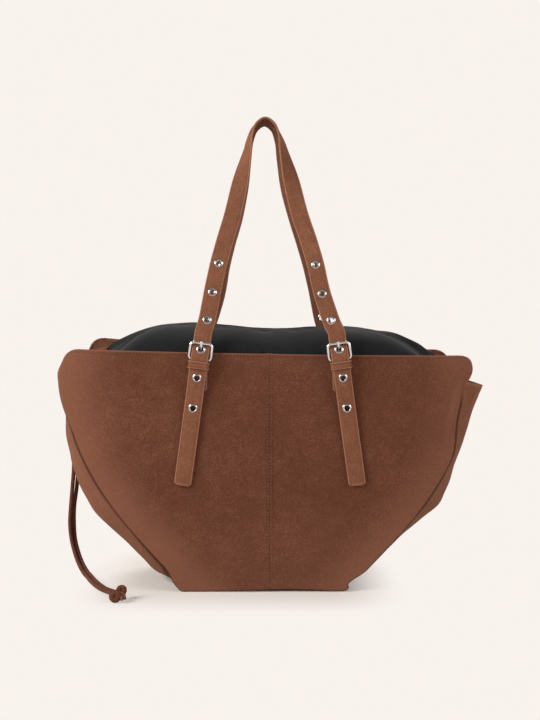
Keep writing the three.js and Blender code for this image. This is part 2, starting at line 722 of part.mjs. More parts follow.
function strand(route) {
  const curve = new THREE.CatmullRomCurve3(route.map((p) => v3(...p)), false, 'centripetal');
  const section = new THREE.Shape();
  section.absarc(0, 0, CORD_DIAMETER / 2, 0, Math.PI * 2);
  const round = new THREE.Shape(section.getSpacedPoints(8).slice(0, 8));
  return new THREE.ExtrudeGeometry(round, { steps: 34, extrudePath: curve });
}

// An overhand knot of the doubled cord, as a trefoil.
function knot() {
  const steps = 36;
  const sides = 6;
  const trefoil = (angle) => v3(
    (Math.sin(angle) + 2 * Math.sin(2 * angle)) * (KNOT_RADIUS / 2),
    (Math.cos(angle) - 2 * Math.cos(2 * angle)) * (KNOT_RADIUS / 2),
    -Math.sin(3 * angle) * KNOT_RISE,
  );
  const rings = Array.from({ length: steps }, (_, i) => {
    const angle = (i / steps) * Math.PI * 2;
    const place = trefoil(angle);
    const along = trefoil(angle + 0.01).sub(trefoil(angle - 0.01)).normalize();
    const side = along.clone().cross(v3(0, 0, 1)).normalize();
    const up = side.clone().cross(along);
    return Array.from({ length: sides }, (__, k) => {
      const turn = (k / sides) * Math.PI * 2;
      return place.clone()
        .addScaledVector(side, Math.cos(turn) * KNOT_CORD_RADIUS)
        .addScaledVector(up, Math.sin(turn) * KNOT_CORD_RADIUS);
    });
  });
  return loft(rings, true);
}

// Assembly

const bag = new THREE.Group();

const sides = { front: new THREE.Group(), back: new THREE.Group() };
sides.back.rotation.z = Math.PI;
for (const [face, group] of Object.entries(sides)) {
  const [first, second] = face === 'front' ? ['left', 'right'] : ['right', 'left'];
  group.add(
    named(`${face}_panel_${first}`, halfPanel(-1, face), SUEDE),
    named(`${face}_panel_${second}`, halfPanel(1, face), SUEDE),
    strapEnd(`${face}_${first}`, -1),
    strapEnd(`${face}_${second}`, 1),
    shoulderStrap(face, ARCH_SWAY[face], [`${face}_${second}`, `${face}_${first}`]),
  );
  bag.add(group);
}

const collarFront = collarHalf();
const collarBack = collarFront.clone();
collarBack.scale(1, -1, 1);
collarBack.setIndex(Array.from(collarBack.index.array).reverse());

const drawnKnot = named('cord_knot', knot(), SUEDE);
drawnKnot.position.set(...KNOT_CENTRE);
drawnKnot.rotation.z = KNOT_TURN;

bag.add(
  named('gusset_left', gusset(-1, foldLines.left), SUEDE),
  named('gusset_right', gusset(1, foldLines.right), SUEDE),
  named('base_panel', basePanel(), SUEDE),
  named('lining_bag', liningBag(), NYLON),
  named('collar_front', collarFront, NYLON),
  named('collar_back', collarBack, NYLON),
  named('cord_strand_front', strand(strandRoutes.front), SUEDE),
  named('cord_strand_back', strand(strandRoutes.back), SUEDE),
  drawnKnot,
);

export default bag;
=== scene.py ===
import math

import bpy
import numpy as np
from mathutils import Matrix, Vector, noise


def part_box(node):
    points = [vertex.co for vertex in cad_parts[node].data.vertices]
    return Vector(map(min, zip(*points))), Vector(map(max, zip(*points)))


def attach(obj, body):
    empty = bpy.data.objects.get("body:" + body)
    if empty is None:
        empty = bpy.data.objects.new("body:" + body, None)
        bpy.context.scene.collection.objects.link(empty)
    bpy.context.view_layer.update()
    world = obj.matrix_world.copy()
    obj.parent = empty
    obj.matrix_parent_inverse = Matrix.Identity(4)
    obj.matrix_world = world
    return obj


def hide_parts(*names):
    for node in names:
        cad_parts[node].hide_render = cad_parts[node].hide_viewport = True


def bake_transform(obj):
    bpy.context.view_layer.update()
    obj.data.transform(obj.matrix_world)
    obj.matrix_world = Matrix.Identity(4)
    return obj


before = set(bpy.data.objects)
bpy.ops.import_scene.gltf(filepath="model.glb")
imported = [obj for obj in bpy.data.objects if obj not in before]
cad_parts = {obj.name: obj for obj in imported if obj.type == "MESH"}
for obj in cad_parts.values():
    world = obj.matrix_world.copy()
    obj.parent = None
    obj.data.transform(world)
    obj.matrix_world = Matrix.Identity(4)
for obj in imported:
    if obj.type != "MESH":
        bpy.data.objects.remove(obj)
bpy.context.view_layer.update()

# Studio: the camera stands one and a third metres in front of the bag, a little above its rim,
# and looks slightly down. It has a long lens, so the straps and the base hardly converge.
camera_data = bpy.data.cameras.new("camera")
camera_data.sensor_fit = "VERTICAL"
camera_data.sensor_height = 36.0
camera_data.lens = 54.27
camera_tilt = math.radians(3.278)
camera = bpy.data.objects.new("camera", camera_data)
camera.location = (0.003, -1.3132, 0.340)
camera.rotation_euler = (math.radians(90) - camera_tilt, 0, 0)
bpy.context.scene.collection.objects.link(camera)
bpy.context.scene.camera = camera
bpy.context.scene.view_settings.view_transform = "Standard"


class Wire:
    """An output socket of a material. Sums of wires and numbers add Math nodes."""

    def __init__(self, socket):
        self.socket = socket

    def maths(self, operation, first, second):
        node = self.socket.id_data.nodes.new("ShaderNodeMath")
        node.operation = operation
        for place, value in zip(node.inputs, (first, second)):
            plug(place, value)
        return Wire(node.outputs[0])

    def __add__(self, other):
        return self.maths("ADD", self, other)

    def __rsub__(self, other):
        return self.maths("SUBTRACT", other, self)

    def __mul__(self, other):
        return self.maths("MULTIPLY", self, other)

    def upto(self, other):
        return self.maths("MINIMUM", self, other)

    __radd__ = __add__
    __rmul__ = __mul__


def plug(place, value):
    """Give an input socket its link or its fixed value."""
    if isinstance(value, Wire):
        place.id_data.links.new(value.socket, place)
    else:
        place.default_value = value


class Finish:
    """A material with one Principled surface. Fixed values go straight on its sockets."""

    def __init__(self, name, **fixed):
        self.material = bpy.data.materials.new(name)
        self.material.use_nodes = True
        self.tree = self.material.node_tree
        self.surface = self.tree.nodes["Principled BSDF"]
        self.set(**fixed)

    def set(self, **values):
        for name, value in values.items():
            plug(self.surface.inputs[name.replace("_", " ").title().replace("Ior", "IOR")], value)

    def node(self, kind, settings=None, inputs=None, output=0):
        node = self.tree.nodes.new(kind)
        for name, value in (settings or {}).items():
            if name == "stops":
                ramp = node.color_ramp.elements
                while len(ramp) < len(value):
                    ramp.new(0.5)
                for stop, (position, colour) in zip(ramp, value):
                    stop.position = position
                    stop.color = (*colour, 1)
            else:
                setattr(node, name, value)
        for name, value in (inputs or {}).items():
            plug(node.inputs[name], value)
        return Wire(node.outputs[output])

    def place(self, stretch=(1, 1, 1), turn=(0, 0, 0)):
        """Object coordinates, stretched and turned."""
        here = self.node("ShaderNodeTexCoord", output="Object")
        return self.node("ShaderNodeMapping", {}, {"Vector": here, "Scale": stretch, "Rotation": turn})

    def speckle(self, place, scale, detail=3.0, roughness=0.55, distortion=0.0):
        return self.node("ShaderNodeTexNoise", {}, {
            "Vector": place, "Scale": scale, "Detail": detail,
            "Roughness": roughness, "Distortion": distortion,
        })

    def rise(self, value, low, high):
        """0 below low, 1 above high, and smooth between them."""
        return self.node("ShaderNodeMapRange", {"interpolation_type": "SMOOTHSTEP"}, {
            "Value": value, "From Min": low, "From Max": high,
        })

    def ramp(self, value, *stops):
        return self.node("ShaderNodeValToRGB", {"stops": stops}, {"Fac": value})

    def blend(self, share, first, second):
        mix = {"data_type": "RGBA"}
        colours = [c if isinstance(c, Wire) else (*c, 1) for c in (first, second)]
        return self.node("ShaderNodeMix", mix, {0: share, 6: colours[0], 7: colours[1]}, 2)

    def bump(self, height, strength, distance):
        self.set(normal=self.node("ShaderNodeBump", {}, {
            "Height": height, "Strength": strength, "Distance": distance,
        }))


# Backdrop: a pale paper sweep that runs from the floor up the wall in one bend. It shows its
# own cream to the camera and in the metal, and keeps part of the bag's soft shadow.
sweep_half_width = 4.0
sweep_front, sweep_bend, sweep_top = -3.0, 2.2, 4.0
bend_radius = 1.2
bend_angles = np.linspace(0, math.pi / 2, 13)
profile = [(sweep_front, 0.0)]
profile += [(sweep_bend + bend_radius * math.sin(a), bend_radius * (1 - math.cos(a))) for a in bend_angles]
profile += [(sweep_bend + bend_radius, sweep_top)]
paper = bpy.data.meshes.new("sweep")
paper_points = [(x, y, z) for y, z in profile for x in (-sweep_half_width, sweep_half_width)]
paper_faces = [(2 * i, 2 * i + 1, 2 * i + 3, 2 * i + 2) for i in range(len(profile) - 1)]
paper.from_pydata(paper_points, [], paper_faces)
paper.shade_smooth()
sweep = bpy.data.objects.new("sweep", paper)
bpy.context.scene.collection.objects.link(sweep)

cream = (0.945, 0.889, 0.851)
shadow_middle, shadow_half, shadow_fade = (-0.036, 0, 0), (0.105, 0.079, 10), 0.095
shadow_glow = 0.05
paper_finish = Finish("paper", base_color=(0.73, 0.70, 0.66, 1), roughness=0.9)
paper_rays = paper_finish.node("ShaderNodeLightPath", output="Is Camera Ray")
paper_rays = paper_rays + paper_finish.node("ShaderNodeLightPath", output="Is Glossy Ray")
paper_rays = paper_rays + paper_finish.node("ShaderNodeLightPath", output="Is Transmission Ray")
paper_away = paper_finish.place()
for step, amount in (
    ("SUBTRACT", shadow_middle), ("ABSOLUTE", (0, 0, 0)), ("SUBTRACT", shadow_half), ("MAXIMUM", (0, 0, 0)),
):
    paper_away = paper_finish.node("ShaderNodeVectorMath", {"operation": step}, {0: paper_away, 1: amount})
paper_away = paper_finish.node("ShaderNodeVectorMath", {"operation": "LENGTH"}, {0: paper_away}, "Value")
paper_far = paper_finish.rise(paper_away, 0.0, shadow_fade)
paper_glow = paper_finish.node("ShaderNodeEmission", {}, {"Color": (*cream, 1), "Strength": 1.0})
paper_share = paper_rays.upto(1) * (shadow_glow + (1 - shadow_glow) * paper_far)
paper_mix = paper_finish.node("ShaderNodeMixShader", {}, {
    0: paper_share, 1: Wire(paper_finish.surface.outputs[0]), 2: paper_glow,
})
plug(paper_finish.tree.nodes["Material Output"].inputs["Surface"], paper_mix)
paper.materials.append(paper_finish.material)

# Lamps: one large soft box on the upper left, a weaker one on the right, one behind and a low
# even sky, so that both sides of the bag catch more light than its middle.
world = bpy.data.worlds.new("studio_sky")
world.use_nodes = True
world.node_tree.nodes["Background"].inputs["Color"].default_value = (0.95, 0.93, 0.90, 1)
world.node_tree.nodes["Background"].inputs["Strength"].default_value = 0.28
bpy.context.scene.world = world


def soft_box(name, place, target, width, height, power):
    lamp = bpy.data.lights.new(name, "AREA")
    lamp.shape = "RECTANGLE"
    lamp.size = width
    lamp.size_y = height
    lamp.energy = power
    lamp.color = (1.0, 0.975, 0.94)
    holder = bpy.data.objects.new(name, lamp)
    holder.location = place
    holder.rotation_euler = (Vector(target) - Vector(place)).to_track_quat("-Z", "Y").to_euler()
    bpy.context.scene.collection.objects.link(holder)


soft_box("key_lamp", (-1.45, -0.75, 1.00), (-0.02, 0, 0.22), 0.9, 0.9, 38)
soft_box("fill_lamp", (1.45, -0.70, 0.80), (0, 0, 0.2), 1.0, 1.0, 16)
soft_box("back_lamp", (-0.1, 1.1, 1.8), (0, 0, 0.1), 1.0, 1.0, 22)

# Drawstring: two round suede cords leave the collar's left end, hang over the gusset and lie
# on the floor in front of it. The routes keep close to the solids' own, in metres.
cord_diameter = 0.0049
cord_routes = {
    "front": [
        (-0.193, -0.0029, 0.2776), (-0.199, -0.0008, 0.2768), (-0.2085, 0.0033, 0.2726),
        (-0.2175, 0.0078, 0.2646), (-0.226, 0.013, 0.2548), (-0.233, 0.018, 0.2455),
        (-0.239, 0.0225, 0.234), (-0.2425, 0.026, 0.219), (-0.244, 0.0285, 0.200),
        (-0.2436, 0.0295, 0.180), (-0.2416, 0.0298, 0.155), (-0.2414, 0.0294, 0.130),
        (-0.2432, 0.0286, 0.105), (-0.2453, 0.0274, 0.080), (-0.2462, 0.0256, 0.060),
        (-0.2439, 0.0226, 0.040), (-0.2394, 0.018, 0.025), (-0.2332, 0.0105, 0.0125),
        (-0.2260, -0.0005, 0.0048), (-0.2188, -0.015, 0.0027), (-0.2114, -0.034, 0.0025),
        (-0.2024, -0.054, 0.0025), (-0.194, -0.070, 0.0027), (-0.1856, -0.084, 0.0038),
        (-0.1762, -0.0985, 0.0054),
    ],
    "back": [
        (-0.193, 0.0029, 0.2782), (-0.199, 0.0052, 0.278), (-0.2088, 0.0093, 0.2738),
        (-0.2182, 0.0138, 0.266), (-0.2262, 0.0188, 0.2556), (-0.2324, 0.024, 0.246),
        (-0.2376, 0.0286, 0.234), (-0.2406, 0.032, 0.219), (-0.242, 0.0346, 0.200),
        (-0.2406, 0.0358, 0.180), (-0.2376, 0.0362, 0.155), (-0.2372, 0.0358, 0.130),
        (-0.2388, 0.0346, 0.105), (-0.2418, 0.0324, 0.080), (-0.242, 0.0299, 0.060),
        (-0.2402, 0.0264, 0.040), (-0.2357, 0.0216, 0.025), (-0.2294, 0.014, 0.0127),
        (-0.2216, 0.0024, 0.005), (-0.2140, -0.0124, 0.0027), (-0.2064, -0.0314, 0.0025),
        (-0.1973, -0.0516, 0.0025), (-0.1889, -0.0675, 0.0027), (-0.1806, -0.0813, 0.0038),
        (-0.1711, -0.0957, 0.0054),
    ],
}


def smooth_line(points, per_span=12):
    """A centripetal spline through points, as a dense row of points."""
    points = np.array(points, float)
    ends = [2 * points[0] - points[1], *points, 2 * points[-1] - points[-2]]
    line = []
    for p0, p1, p2, p3 in zip(ends, ends[1:], ends[2:], ends[3:]):
        knots = [0.0]
        for a, b in ((p0, p1), (p1, p2), (p2, p3)):
            knots.append(knots[-1] + max(np.linalg.norm(b - a), 1e-9) ** 0.5)
        t0, t1, t2, t3 = knots
        for t in np.linspace(t1, t2, per_span, endpoint=False):
            a1 = ((t1 - t) * p0 + (t - t0) * p1) / (t1 - t0)
            a2 = ((t2 - t) * p1 + (t - t1) * p2) / (t2 - t1)
            a3 = ((t3 - t) * p2 + (t - t2) * p3) / (t3 - t2)
            b1 = ((t2 - t) * a1 + (t - t0) * a2) / (t2 - t0)
            b2 = ((t3 - t) * a2 + (t - t1) * a3) / (t3 - t1)
            line.append(((t2 - t) * b1 + (t - t1) * b2) / (t2 - t1))
    return np.array([*line, points[-1]])


def at_shares(line, shares):
    """Points at shares of a line's own length."""
    steps = np.linalg.norm(np.diff(line, axis=0), axis=1)
    walked = np.concatenate([[0], np.cumsum(steps)]) / steps.sum()
    return np.stack([np.interp(shares, walked, column) for column in line.T], axis=-1)


def unit(vectors):
    return vectors / np.linalg.norm(vectors, axis=-1, keepdims=True)


def full_turn(count):
    """Angles at even steps, once round."""
    return np.linspace(0, 2 * math.pi, count, endpoint=False)


def line_length(line):
    return float(np.linalg.norm(np.diff(line, axis=0), axis=1).sum())


def show_only(obj):
    """Select this object alone and make it active."""
    bpy.ops.object.select_all(action="DESELECT")
    obj.select_set(True)
    bpy.context.view_layer.objects.active = obj


def wrapped_with(obj, kind, **settings):
    """Add one modifier and apply it."""
    show_only(obj)
    modifier = obj.modifiers.new(kind.lower(), kind)
    for name, value in settings.items():
        setattr(modifier, name, value)
    bpy.ops.object.modifier_apply(modifier=modifier.name)


def suede(name, deep, middle, pale, sheen=0.18):
    """Brushed suede: a cloudy pile and a fine even grain, paler with rubbing, a pale edge finish, painted
    highlights and painted side light, and darker with painted shade along seams and stitch grooves.
    """
    finish = Finish(
        name, roughness=0.95, sheen_weight=sheen, sheen_roughness=0.5,
        sheen_tint=(*pale, 1), specular_ior_level=0.08,
    )
    here = finish.place()
    clouds = finish.speckle(here, 13, 3, 0.55, 0.4)
    mottle = finish.speckle(here, 85, 4, 0.6, 0.4)
    grain = finish.speckle(here, 620, 3, 0.65)
    fibre = finish.speckle(here, 2300, 2, 0.6)
    tone = 0.22 * clouds + 0.22 * mottle + 0.56 * grain
    colour = finish.ramp(tone, (0.29, deep), (0.50, middle), (0.76, pale))
    wear = finish.node("ShaderNodeAttribute", {"attribute_name": "wear"}, output="Fac")
    # Paler: real rubbing and edge finish, plus painted highlights and painted light, up to 0.8.
    rubbed_and_painted_light = (wear * (0.35 + 0.9 * grain)).upto(0.8)
    # Darker: painted shade, blended towards a near-black brown where the value is negative.
    painted_shade = finish.blend((0 - wear).upto(0.9), colour, tuple(0.3 * c for c in deep))
    finish.set(base_color=finish.blend(rubbed_and_painted_light, painted_shade, pale))
    finish.bump(0.6 * grain + 0.3 * fibre + 0.3 * mottle, 0.4, 0.0006)
    return finish.material


suede_deep, suede_middle, suede_pale = (0.076, 0.026, 0.014), (0.114, 0.041, 0.023), (0.200, 0.083, 0.051)
cord_suede = suede("cord_suede", (0.050, 0.017, 0.010), (0.108, 0.040, 0.024), (0.20, 0.090, 0.058))
strands = {}
for side, route in cord_routes.items():
    strand_data = bpy.data.curves.new("cord_" + side, "CURVE")
    strand_data.dimensions = "3D"
    strand_data.bevel_depth = cord_diameter / 2
    strand_data.bevel_resolution = 5
    strand_data.use_fill_caps = True
    strand_line = smooth_line(route, 6)
    spline = strand_data.splines.new("POLY")
    spline.points.add(len(strand_line) - 1)
    spline.points.foreach_set("co", np.c_[strand_line, np.ones(len(strand_line))].ravel())
    spline.use_smooth = True
    strand_data.materials.append(cord_suede)
    strands[side] = bpy.data.objects.new("cord_" + side, strand_data)
    bpy.context.scene.collection.objects.link(strands[side])
    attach(strands[side], "bag")
    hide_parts("cord_strand_" + side)

# Knot: the two strands are tied together in one overhand knot, which shows two round loops,
# and their cut ends stick out a little below the rear one.
knot_steps, knot_sides = 56, 16
knot_loops = [
    (0.0036, 0.0034, Matrix.Translation((-0.1697, -0.1195, 0.0074)) @ Matrix.Rotation(1.13, 4, "X")),
    (0.0031, 0.00305, Matrix.Translation((-0.1645, -0.1055, 0.0106)) @ Matrix.Rotation(1.25, 4, "X")),
]
knot_tail_radius = 0.0021


def ring_faces(count, sides, closed):
    """Faces of a loft of rings. An open loft gets a face on each end."""
    faces = [
        (i * sides + k, i * sides + (k + 1) % sides,
         (i + 1) % count * sides + (k + 1) % sides, (i + 1) % count * sides + k)
        for i in range(count if closed else count - 1) for k in range(sides)
    ]
    if not closed:
        faces += [tuple(range(sides))[::-1], tuple(range((count - 1) * sides, count * sides))]
    return faces


def tube(centres, radius, closed):
    """Points and faces of a round tube along centres."""
    along = np.gradient(centres, axis=0)
    if closed:
        along = np.roll(centres, -1, axis=0) - np.roll(centres, 1, axis=0)
    along = unit(along)
    flat = unit(np.cross(along, (0.02, 0.03, 1.0)))
    steep = np.cross(flat, along)
    turns = full_turn(knot_sides)
    rings = [
        c + radius * (np.outer(np.cos(turns), f) + np.outer(np.sin(turns), s))
        for c, f, s in zip(centres, flat, steep)
    ]
    return np.concatenate(rings), ring_faces(len(rings), knot_sides, closed)


def new_piece(name, points, faces, material):
    """A smooth-shaded mesh object with its place in its mesh and its faces turned outwards."""
    mesh = bpy.data.meshes.new(name)
    mesh.from_pydata([tuple(p) for p in points], [], faces)
    mesh.materials.append(material)
    piece = bpy.data.objects.new(name, mesh)
    bpy.context.scene.collection.objects.link(piece)
    show_only(piece)
    bpy.ops.object.mode_set(mode="EDIT")
    bpy.ops.mesh.select_all(action="SELECT")
    bpy.ops.mesh.normals_make_consistent(inside=False)
    bpy.ops.object.mode_set(mode="OBJECT")
    bpy.ops.object.shade_smooth()
    return piece


def paint_wear_and_light(piece, values):
    """Store per point how much paler a piece is, up to 1, from rubbing, edge finish and painted light, or how
    much darker, down to -1, from painted shade.
    """
    layer = piece.data.attributes.new("wear", "FLOAT", "POINT")
    layer.data.foreach_set("value", np.asarray(values, np.float32).ravel())


knot_angles = full_turn(knot_steps)
loop_line = np.stack([np.cos(knot_angles), np.sin(knot_angles), 0.2 * np.cos(2 * knot_angles)], axis=1)
knot_parts = []
for loop_radius, cord_radius, place in knot_loops:
    centres = loop_radius * loop_line @ np.array(place.to_3x3()).T + np.array(place.translation)
    knot_parts.append(tube(centres, cord_radius, True))
for x, y in ((-0.1618, -0.1225), (-0.1592, -0.1190)):
    tail_line = smooth_line([
        (-0.1668, -0.1100, 0.0088), (x - 0.0020, y + 0.0040, 0.0078), (x, y, 0.0046),
    ], 6)
    knot_parts.append(tube(tail_line, knot_tail_radius, False))
knot_points, knot_faces = np.empty((0, 3)), []
for points, faces in knot_parts:
    knot_faces += [tuple(len(knot_points) + i for i in face) for face in faces]
    knot_points = np.concatenate([knot_points, points])
knot = new_piece("drawstring_knot", knot_points, knot_faces, cord_suede)
paint_wear_and_light(knot, np.arange(len(knot_points)) >= 2 * knot_steps * knot_sides)
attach(knot, "bag")
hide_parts("cord_knot")

for side, strand in strands.items():
    line_length(smooth_line(cord_routes[side]))
    [knot] if side == "front" else []

# Panels: front and back are each cut in two halves from one brushed hide and joined at a
# centre seam. Their sides and foot roll softly into the seams, and the rim is turned in and sewn.
panel_low, panel_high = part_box("front_panel_right")
half_depth = -panel_low[1]
rim_height = panel_high[2]
wing_half_width = panel_high[0]
panel_thickness = 0.0022
wing_corner = 0.022
seam_gap = 0.00005
seam_controls = np.array([(0.095, 0.004), (0.175, 0.085), (0.232, 0.150), (0.238, 0.252)])
side_roll, foot_roll, centre_roll, rim_roll = 0.0022, 0.0024, 0.0003, 0.0012
rim_stitch_depth, centre_stitch = 0.0034, 0.0022
wing_ease_start, wing_ease = 0.150, 0.008
centre_seams = {"front": 0.0025, "back": 0.0}
panel_body = suede("panel_suede", suede_deep, suede_middle, suede_pale)


def bezier(controls, count):
    """Points of a curve with three or four control points."""
    t = np.linspace(0, 1, count)[:, None]
    while len(controls) > 1:
        controls = [a * (1 - t) + b * t for a, b in zip(controls, controls[1:])]
    return controls[0]


side_seam = bezier(list(seam_controls), 160)
foot_corner = bezier([np.array(p) for p in ((0.088, 0.0), (0.092, 0.0), (0.095, 0.004))], 12)
rim_corner = bezier([np.array(p) for p in (
    seam_controls[-1], (wing_half_width, rim_height - 0.4 * wing_corner),
    (wing_half_width - 0.4 * wing_corner, rim_height), (wing_half_width - wing_corner, rim_height),
)], 24)
panel_outline = np.concatenate([foot_corner, side_seam[1:], rim_corner[1:]])


def half_width(height):
    return np.interp(height, panel_outline[:, 1], panel_outline[:, 0])


def wing_set_back(x):
    """The wings lean back towards the middle of the bag, away from the strap ends."""
    return wing_ease * np.clip((np.abs(x) - wing_ease_start) / (wing_half_width - wing_ease_start), 0, 1) ** 2


def rolled(distance, radius):
    """How far a soft edge curls in, at a distance from that edge."""
    near = np.clip(1 - distance / radius, 0, 1)
    return radius * (1 - np.sqrt(1 - 0.97 * near ** 2))


def smooth_step(value, low, high):
    t = np.clip((value - low) / (high - low), 0, 1)
    return t * t * (3 - 2 * t)


def waves(x, z, scale, seed):
    """Soft unevenness of a hand-sewn hide, from -1 to 1."""
    return np.array([noise.noise(Vector((a * scale, seed, b * scale))) for a, b in zip(x, z)])


strap_end_from, strap_end_to, strap_end_foot = (0.045, 0.064), (0.118, 0.135), (0.095, 0.118)


def behind_strap_end(x, z):
    """1 where a strap end lies on the panel, which is flat there, and 0 away from it."""
    beside = smooth_step(np.abs(x), *strap_end_from) * (1 - smooth_step(np.abs(x), *strap_end_to))
    return beside * smooth_step(z, *strap_end_foot)


# Each row is one edge that hangs out of line: its side, its face, how far in it reaches, the depths
# and heights over which it sets in and dies out, and its shift sideways and back. First come the
# front wings and the right foot, then the left foot, then the back wings that the cord pulls in.
below, above = (-2, -1), (1, 2)
front_depths, back_depths = (0.020, 0.060), (0.015, 0.060)
edge_curls = [
    (1, -1, 0.030, front_depths, (0.150, 0.205), (0.226, 0.262), -0.0092, 0.011),
    (1, -1, 0.030, front_depths, (0.258, 0.276), above, 0.0040, 0),
    (1, -1, 0.030, front_depths, (0.003, 0.010), (0.010, 0.024), -0.0060, 0),
    (-1, -1, 0.030, front_depths, (0.180, 0.232), (0.251, 0.268), -0.0045, 0),
    (-1, -1, 0.030, (-0.030, 0.040), below, (0.004, 0.030), -0.0090, 0),
    (-1, 1, 0.060, back_depths, (0.190, 0.262), above, 0.0090, 0),
    (1, 1, 0.060, back_depths, (0.190, 0.262), above, -0.0060, 0),
]


def curled(points):
    """Shift the edges that hang out of line."""
    x, y, z = points[..., 0], points[..., 1], points[..., 2]
    width = half_width(np.clip(z, 0, rim_height))
    shift = np.zeros_like(points)
    for side, facing, reach, depths, starts, stops, sideways, back in edge_curls:
        share = smooth_step(side * x, width - reach, width) * smooth_step(facing * y, *depths)
        share = share * smooth_step(z, *starts) * (1 - smooth_step(z, *stops))
        shift = shift + share[..., None] * (sideways, back, 0)
    return points + shift


rim_lifts = {"front": (0.0020, -0.0040), "back": (0.0070, 0.0080)}
rim_groove, groove_width = 0.00035, 0.0008
coarse_waves, fine_waves, panel_ease = 0.0016, 0.0006, 0.0004
seam_lift, foot_lift, foot_lift_x = 0.0006, 0.0026, 0.025


def panel_skin(x, z, face):
    """Outer face of a panel in its own side's frame, which has the panel towards -Y."""
    seed = 3.1 if face == "front" else 17.7
    from_centre = np.abs(x - centre_seams[face])
    edge = (half_width(z) - np.abs(x)) * 0.82
    inward = wing_set_back(x) + rolled(edge, side_roll)
    inward = np.maximum(inward, rolled(z, foot_roll))
    inward = inward + rolled(from_centre - seam_gap, centre_roll) + rolled(rim_height - z, rim_roll)
    inward = inward + rim_groove * np.exp(-((rim_height - z - rim_stitch_depth) / groove_width) ** 2)
    uneven = coarse_waves * waves(x, z, 8, seed) + fine_waves * waves(x, z, 24, seed)
    inward = inward + panel_ease + (1 - behind_strap_end(x, z)) * uneven
    even, tilt = rim_lifts[face]
    reach = x / wing_half_width
    lift = (even * reach ** 2 + tilt * reach) * (z / rim_height) ** 4
    lift = lift + seam_lift * np.exp(-(from_centre / 0.004) ** 2) * smooth_step(z, 0.262, rim_height)
    lift = lift + foot_lift * np.exp(-((x - foot_lift_x) / 0.055) ** 2) * (1 - smooth_step(z, 0.0, 0.03))
    skin = np.stack([x, inward - half_depth, z + lift], axis=-1)
    return turned(curled(turned(skin, face)), face)


def spaced(stops):
    """Row places: each stop is a height and the number of steps that lead to it."""
    rows = [0.0]
    for height, steps in stops:
        rows += list(np.linspace(rows[-1], height, steps + 1)[1:])
    return np.array(rows)


def cloth(name, across, up, shape, outside, material, thickness, wear=None):
    """A sheet on a grid of shares, bent to its shape and given its thickness on the inside."""
    bpy.ops.mesh.primitive_grid_add(
        x_subdivisions=len(across) - 1, y_subdivisions=len(up) - 1, size=1)
    piece = bpy.context.object
    piece.name = piece.data.name = name
    piece.data.materials.append(material)
    grid = np.array([v.co for v in piece.data.vertices]) + 0.5
    column = np.rint(grid[:, 0] * (len(across) - 1)).astype(int)
    row = np.rint(grid[:, 1] * (len(up) - 1)).astype(int)
    points = shape(across[column], up[row])
    piece.data.vertices.foreach_set("co", points.ravel())
    if wear is not None:
        paint_wear_and_light(piece, wear(across[column], up[row]))
    bpy.ops.object.mode_set(mode="EDIT")
    bpy.ops.mesh.select_all(action="SELECT")
    bpy.ops.mesh.remove_doubles(threshold=1e-6)
    bpy.ops.mesh.normals_make_consistent(inside=False)
    bpy.ops.object.mode_set(mode="OBJECT")
    facing = sum((f.normal.dot(outside(f.center)) * f.area for f in piece.data.polygons), 0.0)
    if facing < 0:
        piece.data.flip_normals()
    bpy.ops.object.shade_smooth()
    wrapped_with(piece, "SOLIDIFY", thickness=thickness, offset=-1)
    return piece


def turned(points, face):
    """From a side's own frame to the bag's: the back is the front turned half round."""
    points = np.array(points, float)
    return points if face == "front" else points * (-1, -1, 1)


def sewn_line(name, places, alongs, ups, material, length=0.0026, width=0.0008):
    """A row of thread stitches: one small spindle, modelled once and copied along the line."""
    bpy.ops.mesh.primitive_uv_sphere_add(segments=6, ring_count=4, radius=0.5)
    spindle = bpy.context.object
    shape = np.array([v.co for v in spindle.data.vertices]) * (width, width * 0.8, length)
    faces = [tuple(f.vertices) for f in spindle.data.polygons]
    bpy.data.objects.remove(spindle)
    points, all_faces = [], []
    for place, along, up in zip(places, alongs, ups):
        along = unit(along)
        side = unit(np.cross(up, along))
        start = len(points) * len(shape)
        points.append(place + shape @ np.stack([side, np.cross(along, side), along]))
        all_faces += [tuple(start + i for i in face) for face in faces]
    return new_piece(name, np.concatenate(points), all_faces, material)


def along_line(line):
    """Middles and directions of stitches at an even pitch along a line."""
    count = max(2, int(line_length(line) / stitch_pitch))
    shares = (np.arange(count) + 0.5) / count
    step = 0.2 / count
    return at_shares(line, shares), at_shares(line, shares + step) - at_shares(line, shares - step)


def stitched(name, line, up, material):
    """One line of stitches that all face the same way."""
    places, directions = along_line(line)
    return sewn_line(name, places, directions, [up] * len(places), material)


thread = Finish("sewing_thread", roughness=0.7, specular_ior_level=0.3)
thread_twist = thread.node("ShaderNodeTexWave", {"bands_direction": "DIAGONAL"}, {
    "Vector": thread.place(), "Scale": 900.0, "Distortion": 0.4,
})
thread.set(base_color=thread.ramp(thread_twist, (0.2, (0.10, 0.040, 0.021)), (0.8, (0.20, 0.090, 0.052))))
thread.bump(thread_twist, 0.4, 0.0002)

